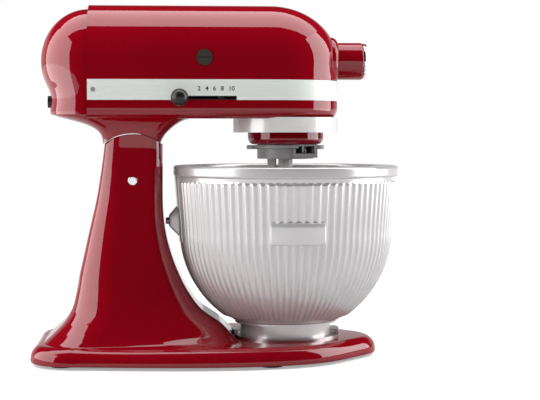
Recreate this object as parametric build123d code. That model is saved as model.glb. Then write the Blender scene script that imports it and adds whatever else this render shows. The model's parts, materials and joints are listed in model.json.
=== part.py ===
from build123d import *
import math
import os

# Tilt-head stand mixer with a freeze bowl and dasher for making ice cream. Millimetres.
# The model is laid out about the bowl's own axis (X = Y = 0), with the floor at Z = 0, the
# nose towards +X and the speed lever on the -Y side. Each piece is moved by SHIFT_X as it is
# written, so that the origin is under the middle of the whole machine.

# ---- shared ----
RUNNING = 0.05               # radial clearance of a shaft in a bearing
FAR = 400.0                  # reaches past every piece, for cutting slabs

# ---- bowl, on the Z axis ----
BOWL_RIM_R = 113.5
BOWL_RIM_TOP = 192.2
RIM_THICK = 10.8
RIM_OVERHANG = 3.8           # the rim stands this far out from the wall
RIM_WIDTH = 22.0             # from the liner to the outside of the rim
WALL_DRAFT = 4.1             # the wall leans out by this much below the rim
BOWL_SHELL = 2.0
BOWL_FOOT_R = 46.0
BOWL_FLANGE_R = 51.8
BOWL_FLOOR_Z = 35.0
FLANGE_STEP = 0.74           # the ball starts this far outside the flange
BOWL_RIM_BOTTOM = BOWL_RIM_TOP - RIM_THICK
BOWL_WALL_TOP_R = BOWL_RIM_R - RIM_OVERHANG
BOWL_BALL_R = BOWL_WALL_TOP_R - WALL_DRAFT   # the lower part of the bowl is a ball of this radius
BOWL_BALL_Z = BOWL_FLOOR_Z + 1 + math.sqrt(BOWL_BALL_R ** 2 - (BOWL_FLANGE_R + FLANGE_STEP) ** 2)
RIB_COUNT = 80
RIB_WIDTH_DEG = 2.3
RIB_HEIGHT = 1.5
RIB_FOOT = 7.0               # the ribs start this far above the floor
RIB_TOP_GAP = 5.4            # and stop this far under the rim
BOWL_CLOCK = 2.1             # the side brackets stand this many degrees round from the Y axis
SIDE_BRACKET_Z1 = BOWL_RIM_BOTTOM - 41.4
SIDE_BRACKET_Z0 = SIDE_BRACKET_Z1 - 21.0
SIDE_BRACKET_OUT = 5.2
SIDE_BRACKET_HALF_DEG = 14.0
CATCH_Z = 139.1              # height of the catch pin
CATCH_REACH = 13.5           # the pin's tip stands this far out from the ball
CATCH_R = 2.7
LUG_REACH = 10.9
LUG_SHOULDER = 7.4
LUG_HALF = 6.0
SPINE_OUT = 3.2
LINER_WALL = 1.5
LINER_DRAFT = 1.5
LINER_BEND_R = 42.0          # inside radius of the liner's lower bend
LINER_LIFT = 29.0            # the liner's floor stands this far above the outer floor
LINER_TOP_R = BOWL_RIM_R - RIM_WIDTH
LINER_FLAT_R = LINER_TOP_R - LINER_DRAFT - LINER_BEND_R   # flat middle of the liner's floor
LINER_FLOOR_Z = BOWL_FLOOR_Z + LINER_LIFT
COOLANT_GAP = 0.6
COOLANT_HEADROOM = 12.0      # the coolant stops this far under the rim
PIP_R = 4.0                  # pip in the floor that centres the dasher
PIP_TALL = 8.0

# ---- base and feet ----
RIM_TO_COLUMN = 10.5         # gap between the bowl's rim and the column
COLUMN_FRONT_X = -(BOWL_RIM_R + RIM_TO_COLUMN)
BASE_REAR = COLUMN_FRONT_X - 129.0           # rearmost edge of the foot casting
BASE_FRONT = 92.0            # front tip of the foot casting
BASE_HALF_REAR = 92.0        # half width just ahead of the rear corners
BASE_HALF_MID = 104.0        # widest half width
BASE_CORNER = 40.0           # plan radius of the rear corners
FOOT_HEIGHT = 3.0            # gap under the casting, filled by the rubber feet
DECK_Z = 19.5                # top of the foot casting
DECK_EDGE = 13.0             # rounding of the top edge
BASE_WALL = 5.0
FOOT_R = 11.0
STEM_R = 5.0
STEM_TALL = 6.0
PLATE_SCREW_R = 2.5
PLATE_SCREW_PCR = 26.0       # the clamp plate's screws stand on this radius
BOLT_R = 3.5
BOLT_HEAD_R = 6.0
BOLT_TOP = 40.0
POST_TOP = 45.0              # top of the bolt posts in the column

# ---- clamp plate ----
PLATE_R = 54.5
PLATE_THICK = 2.5
PLATE_HOLE_R = 14.0
LIP_HALF_DEG = 15.0
LUG_HALF_DEG = 14.0
LIP_TOP = 27.0

# ---- head: heights follow its underside ----
HEAD_BOTTOM = 239.0
HEAD_R = 56.0
HEAD_Z = HEAD_BOTTOM + 57.6  # axis of the round upper half
HEAD_WALL = 3.0
HEAD_EDGE = 10.0             # rounding of the lower edge
NOSE_X = -15.7               # where the nose starts to round
NOSE_LENGTH = 68.0
SEAM_X = COLUMN_FRONT_X - 73.0               # seam between the head and its rear cover
SPLIT_Z = HEAD_BOTTOM + 28.0 # joint between the two head shells, under the trim band
COVER_LENGTH = 48.0
COVER_R = 52.0
COVER_LOW_LENGTH = 38.5      # the cover is shallower below its middle
COVER_BOTTOM = HEAD_BOTTOM + 4.0
BAND_BOTTOM = HEAD_BOTTOM + 18.0
BAND_WIDTH = 20.0
BAND_TOP = BAND_BOTTOM + BAND_WIDTH
BAND_SEAT = 1.0
BAND_THICK = 1.4
SLOT_X0 = SEAM_X + 85.0
SLOT_X1 = SLOT_X0 + 60.0
SLOT_BOTTOM = BAND_BOTTOM + 0.4
SLOT_TOP = BAND_BOTTOM + 4.0
TRIM_SCREW_R = 2.2
COVER_SCREW_R = 2.5
GLAND_R = 6.0
GLAND_Z = HEAD_BOTTOM + 17.0

# ---- pedestal and hinge ----
HINGE_X = COLUMN_FRONT_X - 29.5
HINGE_Z = HEAD_BOTTOM - 60.9
PIN_R = 4.75
NECK_ARC_R = 46.4            # underside of the neck, about the hinge pin
NECK_GAP = 0.6
KNUCKLE_R = 24.0             # head knuckle on the pin
KNUCKLE_HALF = 24.0
KNUCKLE_GAP = 0.6
STEM_DEG0 = 56.0             # the knuckle's stem, in degrees up from +X about the pin
STEM_DEG1 = 80.0
TILT_DEG = 45.0
COLUMN_WALL = 4.5
COLUMN_CAVITY_TOP = HINGE_Z - 39.1
COLUMN_HALF = 38.0           # half width at the top of the column
SET_SCREW_R = 1.6
SET_SCREW_Y = 30.0
HEIGHT_SCREW_R = 3.0
HEIGHT_SCREW_X = HINGE_X + 12.0
HEIGHT_SCREW_Y = 31.0
HEIGHT_SCREW_Z0 = HINGE_Z + 20.0
HEIGHT_SCREW_Z1 = HINGE_Z + 42.0

# ---- drive ----
DRIVE_Z = HEAD_Z + 0.8       # axis of the motor and of the attachment hub
HUB_R = 18.7
HUB_BORE_R = 13.0
HUB_END = 77.9
HUB_SEAT_X = 58.0            # shoulder at the bottom of the hub's bore
HUB_FLARE = 5.5              # the hub's root spreads by this much into the nose
SOCKET_R = 11.0
SOCKET_X = 47.0
HUB_COVER_THICK = 2.2
HUB_COVER_BULGE = 1.1
COVER_PIN_X = HUB_END + 2.0  # hinge of the hub cover
COVER_PIN_Z = DRIVE_Z + 15.6
COVER_PIN_R = 0.8
COVER_BARREL_R = 1.7
COVER_BARREL_HALF = 4.0
COVER_EAR_END = 6.4
WORM_R = 6.0                 # pitch radius
WORM_MODULE = 1.2
WORM_X0 = -44.0
WHEEL_TEETH = 30
WHEEL_Z0 = DRIVE_Z - 4.0
WHEEL_Z1 = DRIVE_Z + 4.0
TRANSFER_Y = WORM_R + WORM_MODULE * WHEEL_TEETH / 2
GEAR_MODULE = 1.5
PINION_TEETH = 14
CENTER_TEETH = 40
GEAR_SPACING = GEAR_MODULE * (PINION_TEETH + CENTER_TEETH) / 2
TRANSFER_X = -math.sqrt(GEAR_SPACING ** 2 - TRANSFER_Y ** 2)
GEAR_Z0 = HEAD_BOTTOM + 23.0
GEAR_Z1 = GEAR_Z0 + 10.0
CENTER_SHAFT_R = 7.0
CENTER_BUSH_R = 9.0
BEVEL_R = 16.0
BEVEL_TEETH = 20
BEVEL_SLOT = 1.5
RING_TEETH = 42
RING_MODULE = 1.2
RING_Z0 = HEAD_BOTTOM - 13.0
RING_Z1 = RING_Z0 + 9.0
AGITATOR_TEETH = 12
AGITATOR_OFFSET = RING_MODULE * (RING_TEETH - AGITATOR_TEETH) / 2
AGITATOR_DEG = -16.0
AGITATOR_R = 4.5
SHAFT_R = 5.0
NOSE_SHAFT_R = 3.5
BUSH_R = 9.0
NOSE_BUSH_R = 5.5
REAR_BEARING_X = SEAM_X + 19.0
CONTROL_PLATE_R = 34.0
CONTROL_PLATE_BACK = 4.0     # the control plate stands this far behind the seam
FAN_X0 = REAR_BEARING_X + 6.0
FAN_X1 = FAN_X0 + 10.0
FAN_R = 33.0
CORE_X0 = SEAM_X + 47.0
CORE_X1 = CORE_X0 + 42.0
ARMATURE_R = 26.5
STATOR_R = 40.0
POLE_R = 33.0
BRUSH_X = CORE_X1 + 24.8
BRUSH_Z = DRIVE_Z + 1.0
BRUSH_CAP_R = 7.8
COMMUTATOR_R = 12.0
COMMUTATOR_HALF = 9.5
POST_X0 = BRUSH_X + 14.2
POST_X1 = POST_X0 + 7.0
NOSE_POST_X0 = -23.5
NOSE_POST_X1 = -19.0
BRIDGE_Z = DRIVE_Z + 13.6

# ---- planetary and ice cream drive ----
DRIP_R = 52.8
DRIP_WALL = 1.6
BOSS_R = 46.0                # inside of the boss the planetary turns in
RING_FLANGE_R = 43.0
RING_SCREW_R = 1.6
RING_SCREW_PCR = 38.5        # the ring gear's screws stand on this radius
DRIP_BOTTOM = HEAD_BOTTOM - 13.5
DRIP_TOP = HEAD_BOTTOM + 1.6
PLANET_R = 38.2
PLANET_BOTTOM = HEAD_BOTTOM - 25.5
DRIVE_BODY_R = 28.7
DRIVE_BODY_BOTTOM = PLANET_BOTTOM - 14.4
DRIVE_WING_R = 39.3
DRIVE_WING_HALF = 6.5
DRIVE_WING_Z = PLANET_BOTTOM - 4.8
DRIVE_WING_THICK = 4.0
DRIVE_FLANGE_R = 32.5
WINDOW_X0 = 8.0
WINDOW_X1 = 26.6
WINDOW_Z0 = DRIVE_BODY_BOTTOM + 5.4
WINDOW_Z1 = PLANET_BOTTOM - 1.7
TAB_DEG = 152.0              # the tab that pushes the dasher's lug
AGITATOR_END = DRIVE_BODY_BOTTOM + 4.4
DASHER_TOP = DRIVE_BODY_BOTTOM - 0.3
DASHER_HUB_R = 7.2
LUG_X0 = -18.2
LUG_X1 = -10.9
SCRAPE_GAP = 2.0
BLADE_THICK = 3.2
BLADE_ARC_R = 60.0
BLADE_TOP = BOWL_RIM_BOTTOM - 9.4
BLADE_RIM = 15.5             # the blade's windows stop this far inside the liner

# ---- controls ----
KNOB_X = SLOT_X0 + 4.4
KNOB_Z = BAND_BOTTOM + 2.2
KNOB_R = 8.5
KNOB_Y = -70.0
LEVER_R = 1.1
LINK_Y = -46.5
LINK_END_X = KNOB_X - 42.4
LOCK_X = HINGE_X + 7.5
LOCK_Z = HINGE_Z + 51.4
LOCK_TIP_Y = 14.0
LOCK_TRAVEL = 12.0
KNOB_SCREW_X = 64.0
KNOB_SCREW_R = 3.0

SHIFT_X = -(BASE_REAR + BOWL_RIM_R) / 2


# ---------------------------------------------------------------- helpers

def rod_z(r, z0, z1, x=0.0, y=0.0):
    """Upright cylinder from z0 to z1."""
    return Pos(x, y, (z0 + z1) / 2) * Cylinder(r, z1 - z0)


def rod_y(r, y0, y1, x, z):
    """Cylinder along Y from y0 to y1."""
    return Pos(x, (y0 + y1) / 2, z) * Rot(90, 0, 0) * Cylinder(r, y1 - y0)


def rod_x(r, x0, x1, y, z):
    """Cylinder along X from x0 to x1."""
    return Pos((x0 + x1) / 2, y, z) * Rot(0, 90, 0) * Cylinder(r, x1 - x0)


def block(x0, x1, y0, y1, z0, z1):
    """Box between two corners."""
    return Pos((x0 + x1) / 2, (y0 + y1) / 2, (z0 + z1) / 2) * Box(x1 - x0, y1 - y0, z1 - z0)


def raised(face, height):
    """Solid that stands up from a level face."""
    return extrude(face, height, dir=(0, 0, 1))


def lathe(points, arc=360.0):
    """Solid turned about the Z axis from (radius, height) corners."""
    face = make_face(Plane.XZ * Polyline(*points, close=True))
    return revolve(face, Axis.Z, arc)


def lathe_edges(edges, arc=360.0):
    """Solid turned about the Z axis from edges drawn as (radius, height)."""
    return revolve(make_face(Plane.XZ * Curve(edges)), Axis.Z, arc)


def sector(r0, r1, z0, z1, mid_deg, half_deg):
    """Part of a ring about the Z axis, centred on an angle."""
    face = Polyline((r0, z0), (r1, z0), (r1, z1), (r0, z1), close=True)
    ring = revolve(make_face(Plane.XZ * face), Axis.Z, 2 * half_deg)
    return Rot(0, 0, mid_deg - half_deg) * ring


def corner_loop(z, rear, front, half_rear, half_front, r_rear, r_front):
    """Level outline with four rounded corners, wider at one end than at the other."""
    corners = [(rear, -half_rear, z), (front, -half_front, z), (front, half_front, z), (rear, half_rear, z)]
    radii = [r_rear, r_front, r_front, r_rear]
    return Wire(FilletPolyline(*corners, radius=radii, close=True).edges())


def loft_sections(sections, inset=0.0):
    """Smooth solid through level outlines, each drawn in by inset."""
    loops = []
    for z, rear, front, half_rear, half_front, r_rear, r_front in sections:
        loops.append(corner_loop(z, rear + inset, front - inset, half_rear - inset, half_front - inset,
                                 max(r_rear - inset, 2.0), max(r_front - inset, 2.0)))
    return Solid.make_loft(loops)


def toothed_disc(teeth, module, z0, z1, bore, clock_deg=0.0, thin=0.40, inner=False):
    """Gear with straight-flanked teeth; a tooth (or gap, in a ring gear) is centred on clock_deg."""
    pitch_r = module * teeth / 2
    sign = -1 if inner else 1
    tip = pitch_r + sign * 0.9 * module
    root = pitch_r - sign * 1.15 * module
    step = 360.0 / teeth
    points = []
    for i in range(teeth):
        mid = clock_deg + i * step
        for share, r in ((-0.72 * thin, root), (-0.28 * thin, tip), (0.28 * thin, tip), (0.72 * thin, root)):
            angle = math.radians(mid + share * step)
            points.append((r * math.cos(angle), r * math.sin(angle)))
    outline = make_face(Polyline(*points, close=True))
    body = raised(outline, z1 - z0)
    if not inner:
        body = body - Cylinder(bore, 3 * (z1 - z0))
    return Pos(0, 0, z0) * body


# ---------------------------------------------------------------- stand

def base_outline(inset=0.0):
    """Plan of the foot casting: square at the rear, drawn in to a rounded tip at the front."""
    rear_x = BASE_REAR + inset
    half = BASE_HALF_REAR - inset
    mid = BASE_HALF_MID - inset
    corner_x = BASE_REAR + BASE_CORNER
    corner_y = BASE_HALF_REAR - BASE_CORNER
    side = [(corner_x, -half), (COLUMN_FRONT_X + 14, -mid), (-20, -0.965 * mid), (35 - inset / 2, -0.76 * mid),
            (BASE_FRONT - 18 - inset, -0.37 * mid), (BASE_FRONT - inset, 0)]
    right = Spline(*side, tangents=[(1, -0.14), (0, 1)])
    corner = RadiusArc((rear_x, -corner_y), (corner_x, -half), -(BASE_CORNER - inset))
    rear = Line((rear_x, corner_y), (rear_x, -corner_y))
    return make_face(Curve([rear, corner, mirror(corner, Plane.XZ), right, mirror(right, Plane.XZ)]))


FOOT_PLACES = [(BASE_REAR + 32, -66), (BASE_REAR + 32, 66), (-20, -78), (-20, 78), (BASE_FRONT - 22, 0)]
PLATE_SCREW_ANGLES = [math.radians(a) for a in (60, 180, 300)]
PLATE_SCREW_PLACES = [(PLATE_SCREW_PCR * math.cos(a), PLATE_SCREW_PCR * math.sin(a)) for a in PLATE_SCREW_ANGLES]
COLUMN_BOLT_PLACES = [(COLUMN_FRONT_X - 80, -44), (COLUMN_FRONT_X - 80, 44),
                      (COLUMN_FRONT_X + 12, -34), (COLUMN_FRONT_X + 12, 34)]


def base_casting():
    """Foot casting, hollow underneath, with bosses for the feet and screws."""
    outline = base_outline()
    height = DECK_Z - FOOT_HEIGHT
    body = raised(outline, height)
    body = fillet(body.faces().sort_by(Axis.Z)[-1].edges(), DECK_EDGE)
    hollow = raised(base_outline(BASE_WALL + 3), height - BASE_WALL)
    body = Pos(0, 0, FOOT_HEIGHT) * (body - hollow)
    for x, y in FOOT_PLACES:
        body = body + rod_z(FOOT_R + 2, FOOT_HEIGHT, DECK_Z - 1, x, y)
    for x, y in PLATE_SCREW_PLACES + COLUMN_BOLT_PLACES:
        body = body + rod_z(7, FOOT_HEIGHT + 4, DECK_Z - 1, x, y)
    for x, y in FOOT_PLACES:
        body = body - rod_z(STEM_R, 0, FOOT_HEIGHT + STEM_TALL, x, y)
    for x, y in PLATE_SCREW_PLACES:
        body = body - rod_z(PLATE_SCREW_R, 0, DECK_Z + 1, x, y)
    for x, y in COLUMN_BOLT_PLACES:
        body = body - rod_z(BOLT_R, 0, DECK_Z + 1, x, y)
    return body


def rubber_feet():
    """Five feet, each a pad with a stem pressed up into the casting."""
    return [rod_z(FOOT_R, 0, FOOT_HEIGHT, x, y) + rod_z(STEM_R, FOOT_HEIGHT, FOOT_HEIGHT + STEM_TALL, x, y)
            for x, y in FOOT_PLACES]


# Each row: rise as a share of the hinge's height over the deck; rear and front measured from the
# column's front face; half widths at the rear and front; corner radii at the rear and front.
COLUMN_PROFILE = [
    (0.0, -116, 72, 79, 55, 28, 25),
    (0.0473, -108, 67, 73.5, 53, 26, 24),
    (0.1072, -100, 57.5, 67.5, 51, 24, 23),
    (0.1835, -93, 40, 61.5, 49, 22, 21),
    (0.2932, -87, 26, 55.5, 47, 20, 20),
    (0.413, -83.7, 16, 51, 45, 19, 19),
    (0.5265, -80, 9, 47.5, 43.5, 18, 18),
    (0.64, -76.5, 4, 44.5, 42, 17, 17),
    (0.7535, -73, 1, 42, 41, 16, 16),
    (0.8733, -69, 0, 40, 40, 15, 15),
    (1.0246, -65, 0, 38.6, 38.6, 14, 14),
    (1.157, -61, 0, COLUMN_HALF, COLUMN_HALF, 14, 14),
    (1.302, -57, 0, COLUMN_HALF, COLUMN_HALF, 14, 14),
]


def column_sections():
    """Level outlines of the column at their real heights and places."""
    tall = HINGE_Z - DECK_Z
    return [(DECK_Z + rise * tall, COLUMN_FRONT_X + rear, COLUMN_FRONT_X + front, *rest)
            for rise, rear, front, *rest in COLUMN_PROFILE]


def hinge_wedge(r0, r1, half, deg0, deg1):
    """Sector about the hinge pin, between two angles up from +X."""
    ring = rod_y(r1, -half, half, HINGE_X, HINGE_Z) - rod_y(r0, -half, half, HINGE_X, HINGE_Z)
    reach = 3 * r1
    rays = [(HINGE_X, HINGE_Z)]
    for deg in (deg0, (deg0 + deg1) / 2, deg1):
        angle = math.radians(deg)
        rays.append((HINGE_X + reach * math.cos(angle), HINGE_Z + reach * math.sin(angle)))
    fan = extrude(make_face(Plane.XZ * Polyline(*rays, close=True)), half, both=True)
    return ring & fan


def pedestal_column():
    """Hollow upright whose domed top follows the neck and carries the hinge pin in two ears."""
    sections = column_sections()
    outer = loft_sections(sections)
    body = outer - loft_sections([s for s in sections if s[0] < COLUMN_CAVITY_TOP + 1], COLUMN_WALL)
    top_r = NECK_ARC_R - NECK_GAP
    cap = block(-FAR, FAR, -FAR, FAR, HINGE_Z, FAR) - rod_y(top_r, -FAR, FAR, HINGE_X, HINGE_Z)
    body = body - cap
    body = body - rod_y(KNUCKLE_R + KNUCKLE_GAP, -KNUCKLE_HALF - KNUCKLE_GAP, KNUCKLE_HALF + KNUCKLE_GAP,
                        HINGE_X, HINGE_Z)
    body = body - hinge_wedge(KNUCKLE_R - 1, NECK_ARC_R + 2, KNUCKLE_HALF + KNUCKLE_GAP,
                              STEM_DEG0 - 2, STEM_DEG1 + TILT_DEG + 2)
    body = body - rod_y(PIN_R, -FAR, FAR, HINGE_X, HINGE_Z)
    body = body - rod_z(PLATE_R + 0.4, DECK_Z - 1, LIP_TOP + 1)
    for x, y in COLUMN_BOLT_PLACES:
        post = rod_z(2 * BOLT_R, DECK_Z, POST_TOP, x, y)
        web = block(x - 2, x + 2, min(y, 3 * y), max(y, 3 * y), DECK_Z, POST_TOP)
        body = body + ((post + web) & outer) - rod_z(BOLT_R, 0, BOLT_TOP, x, y)
    body = body - rod_z(HEIGHT_SCREW_R, HEIGHT_SCREW_Z0, FAR, HEIGHT_SCREW_X, HEIGHT_SCREW_Y)
    return body - rod_x(SET_SCREW_R, -FAR, HINGE_X - PIN_R, SET_SCREW_Y, HINGE_Z)


def hinge_pin():
    """Steel pin through both ears and the knuckle, with domed ends."""
    end = COLUMN_HALF + 1.6
    pin = rod_y(PIN_R, -end, end, HINGE_X, HINGE_Z)
    return fillet(pin.edges(), 1.2)


def hinge_set_screw():
    """Small screw from the rear that locks the pin in its ear."""
    return rod_x(SET_SCREW_R, COLUMN_FRONT_X - 64.5, HINGE_X - PIN_R, SET_SCREW_Y, HINGE_Z)


def head_height_screw():
    """Socket-headed screw in the column's top that the head's neck comes down over."""
    socket = Pos(HEIGHT_SCREW_X, HEIGHT_SCREW_Y, HEIGHT_SCREW_Z1 - 3) * raised(RegularPolygon(2.0, 6), 4)
    return rod_z(HEIGHT_SCREW_R, HEIGHT_SCREW_Z0, HEIGHT_SCREW_Z1, HEIGHT_SCREW_X, HEIGHT_SCREW_Y) - socket


def column_bolts():
    """Four bolts from below the casting up into the column."""
    head = FOOT_HEIGHT + 4
    return [rod_z(BOLT_R, head, BOLT_TOP, x, y) + rod_z(BOLT_HEAD_R, head - 3.5, head, x, y)
            for x, y in COLUMN_BOLT_PLACES]


def bowl_clamp_plate():
    """Round steel plate with two raised bayonet lips that hold the bowl's foot."""
    top = DECK_Z + PLATE_THICK
    plate = rod_z(PLATE_R, DECK_Z, top)
    for mid in (0, 180):
        plate = plate + sector(BOWL_FOOT_R + 5, PLATE_R, top - 0.5, LIP_TOP, mid, LIP_HALF_DEG)
        plate = plate + sector(BOWL_FOOT_R + 1, PLATE_R, LIP_TOP - 1.5, LIP_TOP, mid, LIP_HALF_DEG)
    plate = plate - rod_z(PLATE_HOLE_R, DECK_Z - 1, top + 1)
    for x, y in PLATE_SCREW_PLACES:
        plate = plate - rod_z(PLATE_SCREW_R, DECK_Z - 1, top + 1, x, y)
    return plate


def clamp_plate_screws():
    """Three screws that hold the clamp plate on the deck."""
    top = DECK_Z + PLATE_THICK
    return [rod_z(PLATE_SCREW_R, DECK_Z - 10, top, x, y) + rod_z(PLATE_SCREW_R + 2, top, top + 2.2, x, y)
            for x, y in PLATE_SCREW_PLACES]


# ---------------------------------------------------------------- bowl

def bowl_outer_shell():
    """Ribbed outer wall with its foot, bayonet lugs, side brackets and rear bracket."""
    deck = DECK_Z + PLATE_THICK
    inner_ball = BOWL_BALL_R - BOWL_SHELL
    ball_r = math.sqrt(BOWL_BALL_R ** 2 - (BOWL_BALL_Z - BOWL_FLOOR_Z - 1) ** 2)
    inner_floor_r = math.sqrt(inner_ball ** 2 - (BOWL_BALL_Z - BOWL_FLOOR_Z - 3) ** 2)
    wall_top = (BOWL_WALL_TOP_R, BOWL_RIM_BOTTOM)
    outer_arc = RadiusArc((ball_r, BOWL_FLOOR_Z + 1), (BOWL_BALL_R, BOWL_BALL_Z), -BOWL_BALL_R)
    inner_arc = RadiusArc((inner_floor_r, BOWL_FLOOR_Z + 3), (inner_ball, BOWL_BALL_Z), -inner_ball)
    under = Polyline((0, BOWL_FLOOR_Z), (BOWL_FOOT_R - 4, BOWL_FLOOR_Z), (BOWL_FOOT_R - 4, deck),
                     (BOWL_FOOT_R, deck), (BOWL_FOOT_R, BOWL_FLOOR_Z - 1), (BOWL_FLANGE_R, BOWL_FLOOR_Z - 1),
                     (BOWL_FLANGE_R, BOWL_FLOOR_Z + 1), (ball_r, BOWL_FLOOR_Z + 1))
    over = Polyline((BOWL_BALL_R, BOWL_BALL_Z), wall_top, (wall_top[0] - BOWL_SHELL, wall_top[1]),
                    (inner_ball, BOWL_BALL_Z))
    close = Polyline((inner_floor_r, BOWL_FLOOR_Z + 3), (0, BOWL_FLOOR_Z + 3), (0, BOWL_FLOOR_Z))
    body = lathe_edges([under, outer_arc, over, inner_arc, close])
    rib = bowl_rib()
    ribs = [Rot(0, 0, BOWL_CLOCK + i * 360 / RIB_COUNT) * rib for i in range(RIB_COUNT)]
    body = body.fuse(*ribs)
    for mid in (0, 180):
        lug = sector(BOWL_FOOT_R - 1, BOWL_FOOT_R + 4.5, deck + 0.3, deck + 3.2, mid, LUG_HALF_DEG)
        body = body + lug
    for mid in (-90, 90):
        body = body + sector(BOWL_BALL_R - 1, BOWL_BALL_R + SIDE_BRACKET_OUT, SIDE_BRACKET_Z0, SIDE_BRACKET_Z1,
                             mid + BOWL_CLOCK, SIDE_BRACKET_HALF_DEG)
    return body + rear_bracket()


def bowl_rib():
    """One rib that follows the wall and the ball, a thin wedge of a turned band."""
    low = BOWL_BALL_R - 1
    high = BOWL_BALL_R + RIB_HEIGHT
    bottom_z = BOWL_FLOOR_Z + RIB_FOOT
    top_z = BOWL_RIM_BOTTOM - RIB_TOP_GAP
    drop = BOWL_BALL_Z - bottom_z
    low_r = math.sqrt(low ** 2 - drop ** 2)
    high_r = math.sqrt(high ** 2 - drop ** 2)
    slope = (BOWL_WALL_TOP_R - BOWL_BALL_R) / (BOWL_RIM_BOTTOM - BOWL_BALL_Z)
    top_r = BOWL_BALL_R + slope * (top_z - BOWL_BALL_Z)
    edges = [
        Line((low_r, bottom_z), (high_r, bottom_z)),
        RadiusArc((high_r, bottom_z), (high, BOWL_BALL_Z), -high),
        Polyline((high, BOWL_BALL_Z), (top_r + RIB_HEIGHT, top_z), (top_r - 1, top_z), (low, BOWL_BALL_Z)),
        RadiusArc((low_r, bottom_z), (low, BOWL_BALL_Z), -low),
    ]
    return Rot(0, 0, -RIB_WIDTH_DEG / 2) * lathe_edges(edges, RIB_WIDTH_DEG)


def rear_bracket():
    """Spine down the rear of the bowl with a pointed lug that holds the catch pin."""
    foot_z = CATCH_Z - 27
    low_r = BOWL_BALL_R + SPINE_OUT
    high_r = BOWL_WALL_TOP_R + SPINE_OUT
    spine = [(BOWL_BALL_R - 4, foot_z), (low_r, foot_z), (low_r, BOWL_BALL_Z), (high_r, BOWL_RIM_BOTTOM),
             (BOWL_WALL_TOP_R - 1, BOWL_RIM_BOTTOM), (BOWL_BALL_R - 1, BOWL_BALL_Z)]
    spine = Rot(0, 0, 175) * lathe(spine, 10)
    shoulder = -(BOWL_BALL_R + LUG_SHOULDER)
    reach = -(BOWL_BALL_R + LUG_REACH)
    outline = [(-BOWL_BALL_R, foot_z), (shoulder, CATCH_Z - 21), (reach, CATCH_Z - 4), (reach, CATCH_Z + 4),
               (shoulder, CATCH_Z + 13), (-BOWL_BALL_R, CATCH_Z + 19)]
    lug = extrude(make_face(Plane.XZ * Polyline(*outline, close=True)), LUG_HALF, both=True)
    return (spine + lug) - catch_pin_rod(1)


def catch_pin_rod(past):
    """The catch pin's cylinder, reaching past its tip by a length."""
    tip = -(BOWL_BALL_R + CATCH_REACH)
    return rod_x(CATCH_R, tip - past, -(BOWL_BALL_R + 4.4), 0, CATCH_Z)


def bowl_catch_pin():
    """Metal pin at the rear of the bowl."""
    return fillet(catch_pin_rod(0).edges().sort_by(Axis.X)[0], 1.0)


def liner_solid(grow, top):
    """Solid filling the liner's profile grown outwards, up to a height."""
    floor = LINER_FLOOR_Z - grow
    bend = LINER_BEND_R + grow
    bend_z = LINER_FLOOR_Z + LINER_BEND_R
    wall_r = LINER_FLAT_R + bend
    edges = [
        Line((0, floor), (LINER_FLAT_R, floor)),
        RadiusArc((LINER_FLAT_R, floor), (wall_r, bend_z), -bend),
        Polyline((wall_r, bend_z), (LINER_TOP_R + grow, top), (0, top), (0, floor)),
    ]
    return lathe_edges(edges)


def bowl_liner():
    """Smooth inner wall of the bowl, with a pip that centres the dasher."""
    top = BOWL_RIM_BOTTOM
    body = liner_solid(LINER_WALL, top) - liner_solid(0, top + 0.001)
    flange = lathe([(LINER_TOP_R + 0.5, top - 1.4), (BOWL_WALL_TOP_R - BOWL_SHELL - 0.6, top - 1.4),
                    (BOWL_WALL_TOP_R - BOWL_SHELL - 0.6, top), (LINER_TOP_R + 0.5, top)])
    return body + flange + rod_z(PIP_R, LINER_FLOOR_Z - 0.5, LINER_FLOOR_Z + PIP_TALL)


def bowl_rim_ring():
    """Thick moulded rim that joins the two walls."""
    ring = lathe([(LINER_TOP_R, BOWL_RIM_BOTTOM), (BOWL_RIM_R, BOWL_RIM_BOTTOM),
                  (BOWL_RIM_R, BOWL_RIM_TOP), (LINER_TOP_R, BOWL_RIM_TOP)])
    low_inner = ring.edges().filter_by(GeomType.CIRCLE).sort_by(lambda e: e.center().Z + e.radius)[0]
    return fillet([e for e in ring.edges().filter_by(GeomType.CIRCLE) if e != low_inner], 2.4)


def coolant_fill():
    """Frozen coolant between the walls, resting on the shell's floor."""
    ball = BOWL_BALL_R - BOWL_SHELL - COOLANT_GAP
    floor = BOWL_FLOOR_Z + 3
    floor_r = math.sqrt(ball ** 2 - (BOWL_BALL_Z - floor) ** 2)
    top = BOWL_RIM_BOTTOM - COOLANT_HEADROOM
    top_r = ball + (BOWL_WALL_TOP_R - BOWL_BALL_R) * (top - BOWL_BALL_Z) / (BOWL_RIM_BOTTOM - BOWL_BALL_Z)
    edges = [
        Line((0, floor), (floor_r, floor)),
        RadiusArc((floor_r, floor), (ball, BOWL_BALL_Z), -ball),
        Polyline((ball, BOWL_BALL_Z), (top_r, top), (0, top), (0, floor)),
    ]
    return lathe_edges(edges) - liner_solid(LINER_WALL + COOLANT_GAP, top + 1)


# ---------------------------------------------------------------- dasher

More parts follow.
